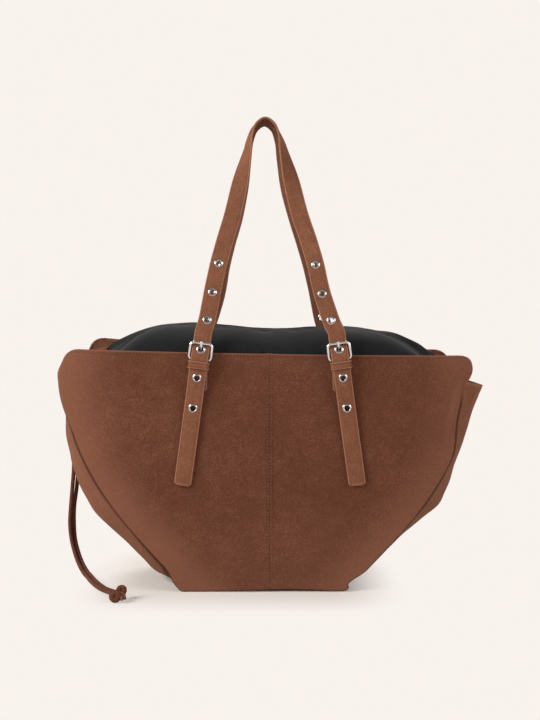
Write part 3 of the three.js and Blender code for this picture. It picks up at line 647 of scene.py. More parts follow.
panel_rows = spaced([(0.002, 3), (0.010, 6), (0.268, 56), (0.274, 8), (rim_height, 6)])
panel_columns = spaced([(0.012, 6), (0.10, 6), (0.93, 40), (0.985, 8), (1.0, 5)])
stitch_pitch = 0.0037
for face in ("front", "back"):
    for side in (-1, 1):
        world_side = side if face == "front" else -side
        name = face + "_panel_" + ("left" if world_side < 0 else "right")

        def panel_shape(across, up):
            start = centre_seams[face] + side * seam_gap
            x = start + across * (side * half_width(up) - start)
            return turned(panel_skin(x, up, face), face)

        def panel_painted_light(across, up):
            below_rim = smooth_step(rim_height - up, 0.004, 0.02)
            from_edge = (1 - across) * half_width(up)
            from_centre = across * half_width(up)
            # Painted highlight along the rim's rolled top edge, and painted shade in the stitch groove just
            # below it.
            rim = 0.8 * np.exp(-((rim_height - up) / 0.0016) ** 2)
            rim = rim - 0.45 * np.exp(-((rim_height - rim_stitch_depth - up) / 0.0007) ** 2)
            # Painted shade along the side edge, where the panel meets the gusset.
            edge = -np.exp(-(from_edge / 0.0009) ** 2) * (1 - smooth_step(up, 0.225, 0.245))
            # Painted light: paler towards the side edges, more on the left where the key lamp stands, and
            # paler near the foot.
            painted_side_light = (0.95 if world_side < 0 else 0.75) * (1 - smooth_step(from_edge, 0.0, 0.070))
            painted_side_light = painted_side_light + 0.22 * (1 - smooth_step(up, 0.03, 0.13))
            # Painted shade along the centre seam's stitch rows.
            centre = -0.35 * np.exp(-((from_centre - centre_stitch) / 0.0006) ** 2) * below_rim
            return np.clip(rim + np.where(edge < -0.1, edge, painted_side_light) + centre, -1, 1)

        outward = Vector((0, -1 if face == "front" else 1, 0))
        panel = cloth(name + "_suede", panel_columns, panel_rows, panel_shape,
                      lambda centre: outward, panel_body, panel_thickness, panel_painted_light)
        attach(panel, "bag")
        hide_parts(name)

    rim_x = np.linspace(-wing_half_width + 0.018, wing_half_width - 0.018, 240)
    rim_line = panel_skin(rim_x, np.full(240, rim_height - rim_stitch_depth), face)
    centre_z = np.linspace(0.012, rim_height - 0.006, 160)
    seam_lines = [
        panel_skin(np.full(160, centre_seams[face] + side * centre_stitch), centre_z, face)
        for side in (-1, 1)
    ]
    for label, line in (("rim", rim_line), ("left_seam", seam_lines[0]), ("right_seam", seam_lines[1])):
        stitches = stitched(f"{face}_{label}_stitches", turned(line, face), outward, thread.material)
        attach(stitches, "bag")

# Gussets: one suede sheet on each side, from the front seam to the back seam, folded outwards
# along its middle. The drawstring pulls the top of the left one in, and both tops are hemmed.
gusset_top = 0.243
gusset_inset, fold_inset, gusset_thickness = 0.0014, 0.0012, 0.002
gusset_half_depth = half_depth - panel_thickness - 0.0003
fold_sharpness, low_fullness = 1.4, 0.9
seam_pinch = 0.03
fold_lines = {
    "right": smooth_line([
        (0.098, 0.004), (0.140, 0.033), (0.165, 0.053), (0.189, 0.071), (0.2095, 0.088),
        (0.217, 0.104), (0.2265, 0.130), (0.2365, 0.160), (0.249, 0.200), (0.262, 0.234),
    ]),
    "left": smooth_line([
        (0.098, 0.004), (0.1315, 0.0105), (0.1525, 0.0240), (0.172, 0.0415), (0.1915, 0.059),
        (0.2105, 0.078), (0.228, 0.107), (0.241, 0.147), (0.2465, 0.195), (0.232, 0.236),
    ]),
}
gusset_seam = side_seam[side_seam[:, 1] <= gusset_top]
gusset_suede = suede("gusset_suede", (0.105, 0.040, 0.022), (0.155, 0.061, 0.035), (0.24, 0.108, 0.066))


def inset_line(line, shares, inset):
    """Points of a line in the XZ plane, moved to its inner side."""
    ahead, behind = (at_shares(line, np.clip(shares + step, 0, 1)) for step in (0.002, -0.002))
    along = unit(ahead - behind)
    return at_shares(line, shares) + inset * np.stack([-along[..., 1], along[..., 0]], axis=-1)


def side_wall(fold, share, across, seam_inset, middle_inset, wall_half_depth):
    """Points of a side wall: share runs up it, across runs from -1 (front) to 1 (back)."""
    seam = inset_line(gusset_seam, share, seam_inset)
    middle = inset_line(fold_lines[fold], share, middle_inset)
    fullness = fold_sharpness + low_fullness * (1 - smooth_step(share, 0.05, 0.35))
    bulge = (1 - np.minimum(np.abs(across) * (1 + seam_pinch), 1) ** fullness)[..., None]
    place = seam * (1 - bulge) + middle * bulge
    depth = wall_half_depth - wing_set_back(seam[..., 0])
    return np.stack([place[..., 0], across * depth, place[..., 1]], axis=-1)


gussets = {}
gusset_rows = spaced([(0.94, 52), (0.975, 6), (1.0, 6)])
gusset_columns = np.linspace(-1, 1, 49)
hem_stitch_share, hem_pinch, crease_depth = 0.965, 0.0005, 0.0016
for fold, side in (("left", -1), ("right", 1)):

    def gusset_shape(across, up):
        wall = side_wall(fold, up, across, gusset_inset, fold_inset, gusset_half_depth)
        creases = waves(wall[:, 1], wall[:, 2], 22, 5 + side)
        creases = creases + 0.5 * waves(wall[:, 1], wall[:, 2], 55, 9 + side)
        pinch = hem_pinch * np.exp(-((up - hem_stitch_share) / 0.004) ** 2)
        wall[:, 0] += crease_depth * creases * (1 - across ** 2) * smooth_step(up, 0, 0.2) - pinch
        return curled(wall * (side, 1, 1))

    def gusset_hem_and_painted_light(across, up):
        gap = np.linalg.norm(at_shares(fold_lines[fold], up) - at_shares(gusset_seam, up), axis=-1)
        out = gap * (1 - np.minimum(np.abs(across) * (1 + seam_pinch), 1) ** fold_sharpness)
        beside_seam = smooth_step(np.abs(across), 0.55, 0.75) * (1 - smooth_step(up, 0.90, 0.97))
        hem = np.exp(-((1 - up) / 0.012) ** 2)
        # Painted highlight along the outer fold's ridge.
        painted_ridge_highlight = np.exp(-(across / 0.06) ** 2) * 0.55
        # Painted shade beside each seam, where the gusset lies in the shadow of the panel's edge.
        seam = -(1 - smooth_step(out, 0.0034, 0.0060)) * beside_seam
        return np.clip(0.6 * hem + painted_ridge_highlight + seam, -1, 1)

    outward = Vector((side, 0, 0))
    gusset = cloth(f"gusset_{fold}_suede", gusset_columns, gusset_rows, gusset_shape,
                   lambda centre: outward, gusset_suede, gusset_thickness, gusset_hem_and_painted_light)
    hem_line = gusset_shape(np.linspace(-0.97, 0.97, 120), np.full(120, hem_stitch_share))
    stitches = stitched(f"gusset_{fold}_stitches", hem_line, outward, thread.material)
    for piece in (gusset, stitches):
        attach(piece, "bag")
    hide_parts("gusset_" + fold)
    gussets[fold] = gusset

# Base: a stiff board wrapped in suede, the flat that the bag stands on. Its corners are round
# and one line of stitching runs round it near the edge.
base_low, base_high = (Vector(c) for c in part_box("base_panel"))
base_set_back = Vector((0.001, 0.004, 0))
base_low, base_high = base_low + base_set_back, base_high - base_set_back
base_corner, base_edge = 0.006, 0.0008
base_size = base_high - base_low
bpy.ops.mesh.primitive_cube_add(size=1)
base = bpy.context.object
base.name = base.data.name = "base_board"
base.data.transform(Matrix.Translation((base_low + base_high) / 2) @ Matrix.Diagonal((*base_size, 1)))
for width, steep in ((base_corner, True), (base_edge, False)):
    bpy.ops.object.mode_set(mode="EDIT")
    bpy.ops.mesh.select_mode(type="EDGE")
    bpy.ops.mesh.select_all(action="DESELECT")
    bpy.ops.object.mode_set(mode="OBJECT")
    for edge in base.data.edges:
        run = base.data.vertices[edge.vertices[0]].co - base.data.vertices[edge.vertices[1]].co
        flat_rim = abs(run.z) < 1e-6
        edge.select = flat_rim != steep
    bpy.ops.object.mode_set(mode="EDIT")
    bpy.ops.mesh.bevel(offset=width, segments=6 if steep else 3, affect="EDGES", clamp_overlap=True)
    bpy.ops.object.mode_set(mode="OBJECT")
bpy.ops.object.shade_smooth_by_angle(angle=math.radians(40))
base.data.materials.append(gusset_suede)
base_turns = np.linspace(0, 2 * math.pi, 200)
base_inset = 0.005
base_ring = np.stack([
    np.clip(np.cos(base_turns) * 1.5, -1, 1) * (base_high.x - base_inset),
    np.clip(np.sin(base_turns) * 1.5, -1, 1) * (base_high.y - base_inset),
    np.full(200, base_low.z + 0.0004),
], axis=1)
base_stitches = stitched("base_stitches", base_ring, (0, 0, -1), thread.material)
for piece in (base, base_stitches):
    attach(piece, "bag")
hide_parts("base_panel")

# Lining: an open bag of black nylon that follows the panels and gussets from inside. It stands
# loose on the base, and the collar is sewn to its top edge.
lining_inset, lining_half_depth = 0.006, 0.0705
lining_floor, floor_share, lining_end = 0.005, 0.96, 0.95
hem_height = 0.262
nylon_thickness = 0.001

nylon = Finish("black_nylon", roughness=0.75, sheen_weight=0.04, sheen_roughness=0.4, specular_ior_level=0.12)
nylon_here = nylon.place()
nylon_weave = nylon.node("ShaderNodeTexWave", {"bands_direction": "X"}, {
    "Vector": nylon_here, "Scale": 520.0, "Distortion": 0.3,
}) * nylon.node("ShaderNodeTexWave", {"bands_direction": "Z"}, {
    "Vector": nylon_here, "Scale": 520.0, "Distortion": 0.3,
})
nylon_crinkle = nylon.speckle(nylon_here, 75, 4, 0.6, 0.6)
nylon_dust = nylon.speckle(nylon_here, 900, 2, 0.6)
nylon.set(
    base_color=nylon.ramp(0.6 * nylon_crinkle + 0.2 * nylon_weave + 0.2 * nylon_dust,
                          (0.25, (0.0068, 0.0068, 0.0074)), (0.75, (0.0150, 0.0150, 0.0160))),
    roughness=0.68 + 0.20 * nylon_crinkle,
)
nylon.bump(nylon_weave * 0.4 + nylon_crinkle, 0.15, 0.0006)


def lining_section(share):
    """Half a section of the lining, from the left fold along the front to the right fold."""
    ends = np.linspace(0.004, 1, 14)
    shares = np.full(14, min(share, lining_end))
    left, right = (
        side_wall(fold, shares, -ends, lining_inset, lining_inset, lining_half_depth)
        for fold in ("left", "right")
    )
    along = np.linspace(-1, 1, 60)[1:-1]
    width, _, low = right[-1]
    lift = (hem_height - low) * (1 - np.abs(along) ** 6) * (1.0 if share == 1 else 0.0)
    front = np.stack([along * width, wing_set_back(along * width) - lining_half_depth, low + lift], axis=-1)
    return np.concatenate([left * (-1, 1, 1), front, right[::-1]])


lining_rows = np.linspace(0, 1, 15)
lining_rings = {share: lining_section(share) for share in lining_rows}
floor_ring = lining_rings[0.0] * (floor_share, 1, 0) + (0, 0, lining_floor)


def lining_shape(round_share, up):
    points = np.empty((len(up), 3))
    for height in np.unique(up):
        here = up == height
        ring = floor_ring if height <= 0 else lining_rings[height]
        front = round_share[here] <= 0.5
        share = np.where(front, round_share[here] * 2, 2 - round_share[here] * 2)
        place = at_shares(ring, share)
        place[:, 1] *= np.where(front, 1, -1) * (1 + min(height, 0))
        points[here] = place
    return curled(points)


floor_rows = np.linspace(-1, 0, 7)[:-1]
lining = cloth("lining_nylon", np.linspace(0, 1, 121), np.concatenate([floor_rows, lining_rows]),
               lining_shape, lambda centre: Vector((centre.x, centre.y * 3, centre.z - 0.15)),
               nylon.material, nylon_thickness)
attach(lining, "bag")
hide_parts("lining_bag")

# Collar: two nylon halves sewn to the lining's top edge. A channel along the crest holds the
# drawstring, which gathers the cloth in soft folds and leaves a slit for a mouth.
mouth_half_width, hem_gap = 0.016, 0.001
crest_line = smooth_line([
    (-0.1955, 0.2780), (-0.1878, 0.2848), (-0.1726, 0.2928), (-0.154, 0.3006), (-0.131, 0.3070),
    (-0.105, 0.3086), (-0.084, 0.3094), (-0.040, 0.3055), (0.005, 0.3020), (0.060, 0.3045),
    (0.092, 0.3044), (0.131, 0.3006), (0.1527, 0.2978), (0.1695, 0.2910), (0.1833, 0.2843),
    (0.1926, 0.2776), (0.2002, 0.2728),
])
crest_ends = crest_line[[0, -1], 0]
slack_start, slack_end = 0.150, 0.225
channel_middle, channel_width, channel_stitch = 0.93, 0.05, 0.86
gather_height, gather_width = 0.84, 0.07
gather_depth, swell_depth, channel_depth = 0.0005, 0.0028, 0.0009
gathers = ((1.0, 61, 1), (0.7, 97, 2), (0.5, 173, 1))


def recoloured(material, name, *colours):
    """A copy of a material with other colours in its ramp."""
    copy = material.copy()
    copy.name = name
    ramp = next(n for n in copy.node_tree.nodes if n.type == "VALTORGB")
    for stop, colour in zip(ramp.color_ramp.elements, colours):
        stop.color = (*colour, 1)
    return copy


black_thread = recoloured(thread.material, "black_thread", (0.006, 0.006, 0.007), (0.020, 0.020, 0.022))


def collar_shape(along, up, mirror, seed):
    foot = curled(at_shares(lining_rings[1.0], along) * (1, mirror, 1)) * (1, mirror, 1) + (0, 0, hem_gap)
    crest = at_shares(crest_line, along)
    reach = (crest[:, 0] - crest_ends.mean()) / (crest_ends[1] - crest_ends.mean())
    top = np.stack([crest[:, 0], -mouth_half_width * (1 - reach ** 2) - 0.0008, crest[:, 1]], axis=-1)
    turn = up * math.pi / 2
    slack = smooth_step(np.abs(foot[:, 0]), slack_start, slack_end)
    inward = (1 - np.cos(turn)) * (1 - slack) + up * slack
    upward = np.sin(turn) * (1 - slack) + up * slack
    place = foot + (top - foot) * np.stack([inward, inward, upward], axis=-1)
    folds = sum(size * np.sin(along * pitch + turns * seed) for size, pitch, turns in gathers)
    folds = folds * np.exp(-((up - gather_height) / gather_width) ** 2)
    slow = waves(along * 5 + seed, up * 0.6, 2.2, seed)
    ends = smooth_step(along, 0, 0.08) * smooth_step(1 - along, 0, 0.08)
    swell = gather_depth * folds + swell_depth * slow * np.sin(up * math.pi)
    swell = swell + channel_depth * np.exp(-((up - channel_middle) / channel_width) ** 2)
    place[:, 1] -= swell * np.cos(turn) * ends
    place[:, 2] += swell * np.sin(turn) * ends
    place[:, 1] = np.minimum(place[:, 1], -0.0006)
    return place * (1, mirror, 1)


collar_rows = spaced([(0.8, 26), (1.0, 16)])
collar_columns = np.linspace(0, 1, 241)
for face, mirror, seed in (("front", 1, 0.6), ("back", -1, 2.9)):
    collar = cloth(
        f"collar_{face}_nylon", collar_columns, collar_rows,
        lambda along, up: collar_shape(along, up, mirror, seed),
        lambda centre: Vector((0, -mirror, 0.6)), nylon.material, nylon_thickness,
    )
    channel_line = collar_shape(np.linspace(0.06, 0.94, 300), np.full(300, channel_stitch), mirror, seed)
    stitches = stitched(f"collar_{face}_stitches", channel_line, (0, -mirror * 0.3, 1), black_thread)
    for piece in (collar, stitches):
        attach(piece, "bag")
    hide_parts("collar_" + face)

# Buckle frames: bright nickel wire bent to a rounded oblong and closed. Each leans a little
# forward off its panel, and its lower bar sits in the chape.
buckle_x = {-1: 0.0773, 1: 0.0832}
bar_height, bar_out = 0.2692, half_depth + 0.0036
strap_tilt = math.radians(8)
frame_width, frame_height, frame_corner = 0.0250, 0.0198, 0.0046
frame_wire = 0.0016
frame_lean = math.radians(8.3)

nickel = Finish("bright_nickel", metallic=1.0, base_color=(0.80, 0.79, 0.77, 1))
nickel_here = nickel.place()
nickel_haze = nickel.speckle(nickel_here, 160, 3, 0.6)
nickel_scratch = nickel.speckle(nickel.place(stretch=(1, 6, 0.4), turn=(0.4, 0.2, 0.5)), 1500, 2, 0.6)
nickel.set(
    base_color=nickel.ramp(nickel_haze, (0.3, (0.66, 0.65, 0.63)), (0.7, (0.82, 0.81, 0.79))),
    roughness=0.10 + 0.12 * nickel_haze + 0.06 * nickel_scratch,
)
nickel.bump(nickel_scratch + 0.5 * nickel_haze, 0.08, 0.0002)


def strap_end(side):
    """Frame of a strap end: its origin on the buckle's lower bar, its Z up the strap."""
    bar = Vector((side * buckle_x[side], -bar_out, bar_height))
    return Matrix.Translation(bar) @ Matrix.Rotation(-side * strap_tilt, 4, "Y")


strap_ends = {}
for face in ("front", "back"):
    for side in (-1, 1):
        place = strap_end(side)
        if face == "back":
            place = Matrix.Rotation(math.pi, 4, "Z") @ place
        world_side = "left" if place.translation.x < 0 else "right"
        strap_ends[f"{face}_{world_side}"] = (place, side)


def band(name, centres, across, face, section, materials, closed=False, shrink=None, wear=None):
    """A loft of one section along a path. Across and face are the section's own directions,
    one for the whole path or one for each of its points."""
    section = np.array(section)
    sides, count = len(section), len(centres)
    shrink = np.ones(count) if shrink is None else shrink
    across, face = (np.broadcast_to(d, (count, 3)) for d in (across, face))
    rings = [
        c + np.outer(section[:, 0] * s, a) + np.outer(section[:, 1], f)
        for c, a, f, s in zip(centres, across, face, shrink)
    ]
    piece = new_piece(name, np.concatenate(rings), ring_faces(count, sides, closed), materials[0])
    for material in materials[1:]:
        piece.data.materials.append(material)
    if wear is not None:
        paint_wear_and_light(piece, np.broadcast_to(wear, (count, sides)))
    return piece


def round_section(half_width, half_thickness, sides):
    """An oval with a flattened middle, as rolled or worn edges give."""
    turns = full_turn(sides)
    cosine, sine = np.cos(turns), np.sin(turns)
    return np.stack([np.sign(cosine) * np.abs(cosine) ** 0.6 * half_width,
                     np.sign(sine) * np.abs(sine) ** 0.6 * half_thickness], axis=1)


def own_copy(piece, name, place):
    """A copy with its own mesh, put in its place."""
    copy = piece.copy()
    copy.data = piece.data.copy()
    copy.name = copy.data.name = name
    copy.data.transform(place)
    bpy.context.scene.collection.objects.link(copy)
    return copy


corner_steps = np.linspace(0, math.pi / 2, 11)
frame_middles, frame_outs = [], []
for quarter, (x, z) in enumerate(((1, 0), (1, 1), (-1, 1), (-1, 0))):
    corner_height = frame_corner + z * (frame_height - 2 * frame_corner)
    corner = Vector((x * (frame_width / 2 - frame_corner), 0, corner_height))
    for step in corner_steps:
        angle = step + (quarter - 1) * math.pi / 2
        out = Vector((math.cos(angle), 0, math.sin(angle)))
        frame_middles.append(corner + frame_corner * out)
        frame_outs.append(out)
wire_turns = full_turn(18)
wire_section = frame_wire * np.stack([np.cos(wire_turns), np.sin(wire_turns)], axis=1)
frame_pattern = band("buckle_frame", np.array(frame_middles), np.array(frame_outs), (0, 1, 0),
                     wire_section, [nickel.material], closed=True)
for name, (place, _) in strap_ends.items():
    buckle = own_copy(frame_pattern, name + "_frame", place @ Matrix.Rotation(frame_lean, 4, "X"))
    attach(buckle, "bag")
    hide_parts(name + "_buckle_frame")
bpy.data.objects.remove(frame_pattern)

# Prongs: flat nickel tongues that turn on the lower bar, pass up through the strap's eyelet
# and lie on the top bar. Points are (height along the strap, distance out from the bar).
prong_half_width, prong_half_thickness = 0.0013, 0.0005
prong_points = [(0.0021, 0.00035), (0.0084, -0.0005), (0.0112, 0.0), (0.0130, 0.0016), (0.0149, 0.0032),
                (0.0170, 0.0047), (0.0196, 0.0053), (0.0218, 0.0055)]
eye_radius, eye_half_wall = 0.00245, 0.0005


def side_view(points):
    """Side-view points, heights and distances out, in a strap end's own frame."""
    points = np.array(points)
    return np.stack([np.zeros(len(points)), -points[:, 1], points[:, 0]], axis=1)


prong_line = at_shares(side_view(smooth_line(prong_points)), np.linspace(0, 1, 40))
prong_face = np.cross(unit(np.gradient(prong_line, axis=0)), (1, 0, 0))
prong_tip = np.clip((1 - np.linspace(0, 1, 40)) / 0.07, 0, 1)
blade = band("buckle_prong", prong_line, (1, 0, 0), prong_face,
             round_section(prong_half_width, prong_half_thickness, 14), [nickel.material],
             shrink=0.45 + 0.55 * np.sqrt(1 - (1 - prong_tip) ** 2))
eye_turns = full_turn(32)
eye_out = np.stack([np.zeros(32), np.cos(eye_turns), np.sin(eye_turns)], axis=1)
eye = band("buckle_prong_eye", eye_out * eye_radius, (1, 0, 0), eye_out,
           round_section(prong_half_width, eye_half_wall, 14), [nickel.material], closed=True)
show_only(blade)
eye.select_set(True)
bpy.ops.object.join()
for name, (place, _) in strap_ends.items():
    prong = own_copy(blade, name + "_prong_tongue", place)
    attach(prong, name + "_prong")
    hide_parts(name + "_buckle_prong")
bpy.data.objects.remove(blade)

# Chapes: suede tabs folded round the lower bars, slotted for the prongs and sewn to the panel
# below. They hang straight down while the strap in front of them slants.
chape_half_width, chape_length, chape_loop = 0.0092, 0.036, 0.0033
chape_front, chape_join, slot_foot = -0.0007, -0.015, -0.005
slot_half_width, bar_bore = 0.0018, 0.00168
chape_round = 0.006
strap_suede = suede("strap_suede", (0.115, 0.044, 0.024), (0.180, 0.071, 0.039), (0.30, 0.135, 0.082))
strap_lining = suede(
    "strap_back_suede", (0.10, 0.039, 0.022), (0.155, 0.063, 0.037), (0.22, 0.100, 0.063), 0.15)


def cut_away(piece, cutter):
    """Take a cutter's shape out of a piece and drop the cutter."""
    wrapped_with(piece, "BOOLEAN", operation="DIFFERENCE", solver="EXACT", object=cutter)
    bpy.data.objects.remove(cutter)


def chape_ring(foot):
    """Side view of a chape: up the back, round the bar and down the front."""
    loop = np.linspace(0, math.pi, 25)
    back = [(height, -chape_loop) for height in np.linspace(foot, 0, 12)[:-1]]
    over = [(chape_loop * math.sin(a), -chape_loop * math.cos(a)) for a in loop]
    taper = [(chape_join * t, chape_loop + (chape_front - chape_loop) * t) for t in np.linspace(0, 1, 9)[1:]]
    front = [(height, chape_front) for height in np.linspace(chape_join, foot, 12)[1:]]
    return side_view(back + over + taper + front)


chape_x = np.concatenate([
    [-chape_half_width, -chape_half_width + 0.0002, -chape_half_width + 0.0007],
    np.linspace(-chape_half_width + 0.0015, chape_half_width - 0.0015, 24),
    [chape_half_width - 0.0007, chape_half_width - 0.0002, chape_half_width],
])
chape_soft = rolled(chape_half_width - np.abs(chape_x), 0.0008)
chape_rings = []
for x, soft in zip(chape_x, chape_soft):
    rise = rolled(chape_half_width - abs(x), chape_round)
    ring = chape_ring(-chape_length + rise)
    middle = np.stack([ring[:, 0], np.clip(ring[:, 1], -0.001, chape_loop - 0.0013), ring[:, 2]], axis=1)
    ring = ring + (middle - ring) * min(soft / 0.0013, 0.55) + (x, 0, 0)
    chape_rings.append(ring)
ring_size = len(chape_rings[0])
chape_faces = ring_faces(len(chape_x), ring_size, False)
chape_pattern = new_piece("chape", np.concatenate(chape_rings), chape_faces, strap_suede)
# Pale edge finish on the chape's sides, and painted shade along its stitch rows just inside them.
chape_edge_finish_and_painted_shade = np.interp(np.abs(chape_x), [0.0062, 0.0069, 0.0080], [0, -0.4, 0.9])
paint_wear_and_light(chape_pattern, np.repeat(chape_edge_finish_and_painted_shade, ring_size))
bpy.ops.mesh.primitive_cube_add(size=1)
slot_tool = bpy.context.object
slot_tool.data.transform(Matrix.Diagonal((2 * slot_half_width, 0.012, 0.012, 1)))
slot_tool.data.transform(Matrix.Translation((0, 0, slot_foot + 0.006)))
cut_away(chape_pattern, slot_tool)
bpy.ops.mesh.primitive_cylinder_add(vertices=24, radius=bar_bore, depth=0.03, rotation=(0, math.pi / 2, 0))
cut_away(chape_pattern, bpy.context.object)
chape_edge = chape_half_width - 0.0022
chape_rows = np.linspace(-0.014, -chape_length + 0.004, 40)
chape_seam = np.stack([np.full(40, chape_edge), np.full(40, -chape_front), chape_rows], axis=1)
chape_sewing = np.concatenate([chape_seam * (-1, 1, 1), chape_seam[::-1]])
for name, (place, side) in strap_ends.items():

    def hung_straight(points):
        below = np.maximum(0, slot_foot - points[:, 2])
        return points - np.stack([side * math.tan(strap_tilt) * below, 0 * below, 0 * below], axis=1)

    chape = own_copy(chape_pattern, name + "_chape_tab", Matrix())
    chape_points = np.array([v.co for v in chape.data.vertices])
    chape.data.vertices.foreach_set("co", hung_straight(chape_points).ravel())
    chape.data.transform(place)
    turn = np.array(place.to_3x3())
    sewing = hung_straight(chape_sewing) @ turn.T + np.array(place.translation)
    stitches = stitched(name + "_chape_stitches", sewing, -turn[:, 1], thread.material)
    for piece in (chape, stitches):
        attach(piece, "bag")
    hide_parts(name + "_chape")
bpy.data.objects.remove(chape_pattern)

# Keepers: narrow suede bridges over the strap tails just under the buckles, with raised edges
# and both feet sewn to the panel.
keeper_half, keeper_thickness = 0.0107, 0.0014
keeper_reach, keeper_foot = 0.0067, -0.0033
keeper_low, keeper_height = -0.0100, 0.0085
keeper_corner = 0.0028
keeper_middle_half = keeper_half + keeper_thickness / 2
keeper_middle_reach = keeper_reach + keeper_thickness / 2
bend_x, bend_n = keeper_corner - keeper_middle_half, keeper_middle_reach - keeper_corner
keeper_line = [(-keeper_middle_half, n) for n in np.linspace(keeper_foot, bend_n, 8)]
for angle in np.linspace(math.pi, math.pi / 2, 9)[1:]:
    keeper_line.append((bend_x + keeper_corner * math.cos(angle), bend_n + keeper_corner * math.sin(angle)))
keeper_line += [(x, keeper_middle_reach) for x in np.linspace(-0.006, 0, 5)]
keeper_line += [(-x, n) for x, n in keeper_line[-2::-1]]
keeper_line = np.array([(x, -n, keeper_low + keeper_height / 2) for x, n in keeper_line])
keeper_face = np.cross(unit(np.gradient(keeper_line, axis=0)), (0, 0, 1))
h, t = keeper_height / 2, keeper_thickness / 2
keeper_outer = [(h, t - 0.0005), (h - 0.0003, t + 0.0001), (h - 0.0011, t + 0.00025),
                (h - 0.0018, t - 0.0003), (h - 0.003, t - 0.0003), (0, t - 0.0003)]
keeper_outer += [(-w, n) for w, n in keeper_outer[-2::-1]]
keeper_section = keeper_outer + [(-h, -t + 0.0004), (-h + 0.0005, -t), (h - 0.0005, -t), (h, -t + 0.0004)]
# Pale edge finish on the keeper's raised edges, and painted shade in the hollow just inside them.
keeper_edge_finish_and_painted_shade = np.interp(np.abs(np.array(keeper_section)[:, 0]), [0.0020, 0.0026, 0.0034], [0, -0.4, 1])
keeper_pattern = band("keeper", keeper_line, (0, 0, 1), keeper_face, keeper_section, [strap_suede],
                      wear=keeper_edge_finish_and_painted_shade)
for name, (place, _) in strap_ends.items():
    keeper = own_copy(keeper_pattern, name + "_keeper_loop", place)
    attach(keeper, "bag")
    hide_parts(name + "_keeper")
bpy.data.objects.remove(keeper_pattern)

# Shoulder straps: each is one long doubled suede strip. Its ends come down through the buckles
# and hang as tails, and its middle rises in an arch that turns edge-on and lies flat at the top.
strap_half_width = 0.010
tail_length, tail_round, end_rub = 0.146, 0.0035, 0.0045
tail_points = [
    (-tail_length, -0.0020), (-0.090, -0.0017), (-0.055, -0.0007), (-0.038, 0.0006), (-0.021, 0.0025),
    (-0.010, 0.0042), (-0.003, 0.00495), (0.004, 0.00404), (0.013, 0.0017), (0.019, -0.0001),
]
arch_start = 0.025 * Vector((-math.sin(strap_tilt), 0, math.cos(strap_tilt)))
arch_start += Vector((0, -bar_out + 0.00105, bar_height))
arch_top = Vector((0, -0.011, 0.5535))
leg_tops = [(0.0390, 0.437), (0.0304, 0.474), (0.0224, 0.509), (0.0178, 0.530), (0.0108, 0.5445)]
arch_legs = {
    -1: [(0.0729, 0.3005), (0.069, 0.314), (0.0656, 0.331), (0.0626, 0.3475), (0.0593, 0.363),
         (0.0554, 0.380), (0.0476, 0.408), *leg_tops],
    1: [(0.0788, 0.3005), (0.0744, 0.310), (0.0686, 0.327), (0.0634, 0.344), (0.0600, 0.359),
        (0.0566, 0.377), (0.0482, 0.408), *leg_tops],
}
arch_sway = {"front": -0.0025, "back": 0.0040}
turn_lines = {
    "front": smooth_line([(0.436, 0), (0.466, 12), (0.4836, 28), (0.500, 47), (0.5246, 72), (0.5535, 103)]),
    "back": smooth_line([(0.436, 0), (0.466, 14), (0.4836, 33), (0.500, 52), (0.5246, 69), (0.5535, 80)]),
}
arch_drop = {"front": 0.0030, "back": 0.0028}
arch_pull = {"front": 0.0, "back": 0.0020}
strap_step = 0.0022
edge_profile = [(0.0100, 0.00035), (0.00985, 0.0008), (0.0094, 0.00112), (0.0088, 0.00122), (0.0083, 0.00096),
                (0.0078, 0.00118), (0.0050, 0.00124), (0.0, 0.00126)]
strap_top_face = edge_profile + [(-w, n) for w, n in edge_profile[-2::-1]]
strap_section = strap_top_face + [(w, -n) for w, n in strap_top_face[::-1]]
# Pale edge finish on the strap's cut edges, and painted shade in the groove along the stitch rows just inside
# them.
strap_edge_finish_and_painted_shade = np.interp(np.abs(np.array(strap_section)[:, 0]),
                      [0.0078, 0.0083, 0.0088, 0.0100], [0, -0.6, 0.8, 1])
stitch_across, stitch_out = 0.0083, 0.00098
fold_height, fold_zone, fold_half = 0.2940, 0.003, 0.0001


def arch_place(x, z, sway):
    rise = (z - arch_start.z) / (arch_top.z - arch_start.z)
    shift = sway * rise * math.sin(min(rise * 2, 1) * math.pi / 2)
    return (x + shift, arch_start.y + (arch_top.y - arch_start.y) * rise, z)


def strap_path(sway, drop, pull):
    """Centreline from the right tail's end over the top to the left tail's end, front frame."""
    halves = {}
    for side in (-1, 1):
        tail = [tuple(strap_end(side) @ Vector(p)) for p in side_view(tail_points)]
        leg = [(buckle_x[side] + arch_start.x, arch_start.z)]
        for x, z in arch_legs[side]:
            slack = smooth_step(z, 0.42, 0.48) * (1 - smooth_step(z, 0.515, 0.55)) * (side < 0)
            leg.append((x - pull * slack, z))
        halves[side] = tail + [arch_place(side * x, z, sway) for x, z in leg]
    top = [arch_place(0, arch_top.z - drop, sway)]
    line = smooth_line(halves[1] + top + halves[-1][::-1])
    count = int(line_length(line) / strap_step)
    return at_shares(line, np.linspace(0, 1, count))


def strap_directions(line, turns):
    """Along, face and across at each point: the face turns a quarter turn towards the top."""
    along = unit(np.gradient(line, axis=0))
    outward = unit(np.cross((0, 1, 0), along))
    front = np.cross(outward, along)
    turn = np.radians(np.interp(line[:, 2], turns[:, 0], turns[:, 1]))[:, None]
    face = front * np.cos(turn) + outward * np.sin(turn)
    return along, face, np.cross(along, face)


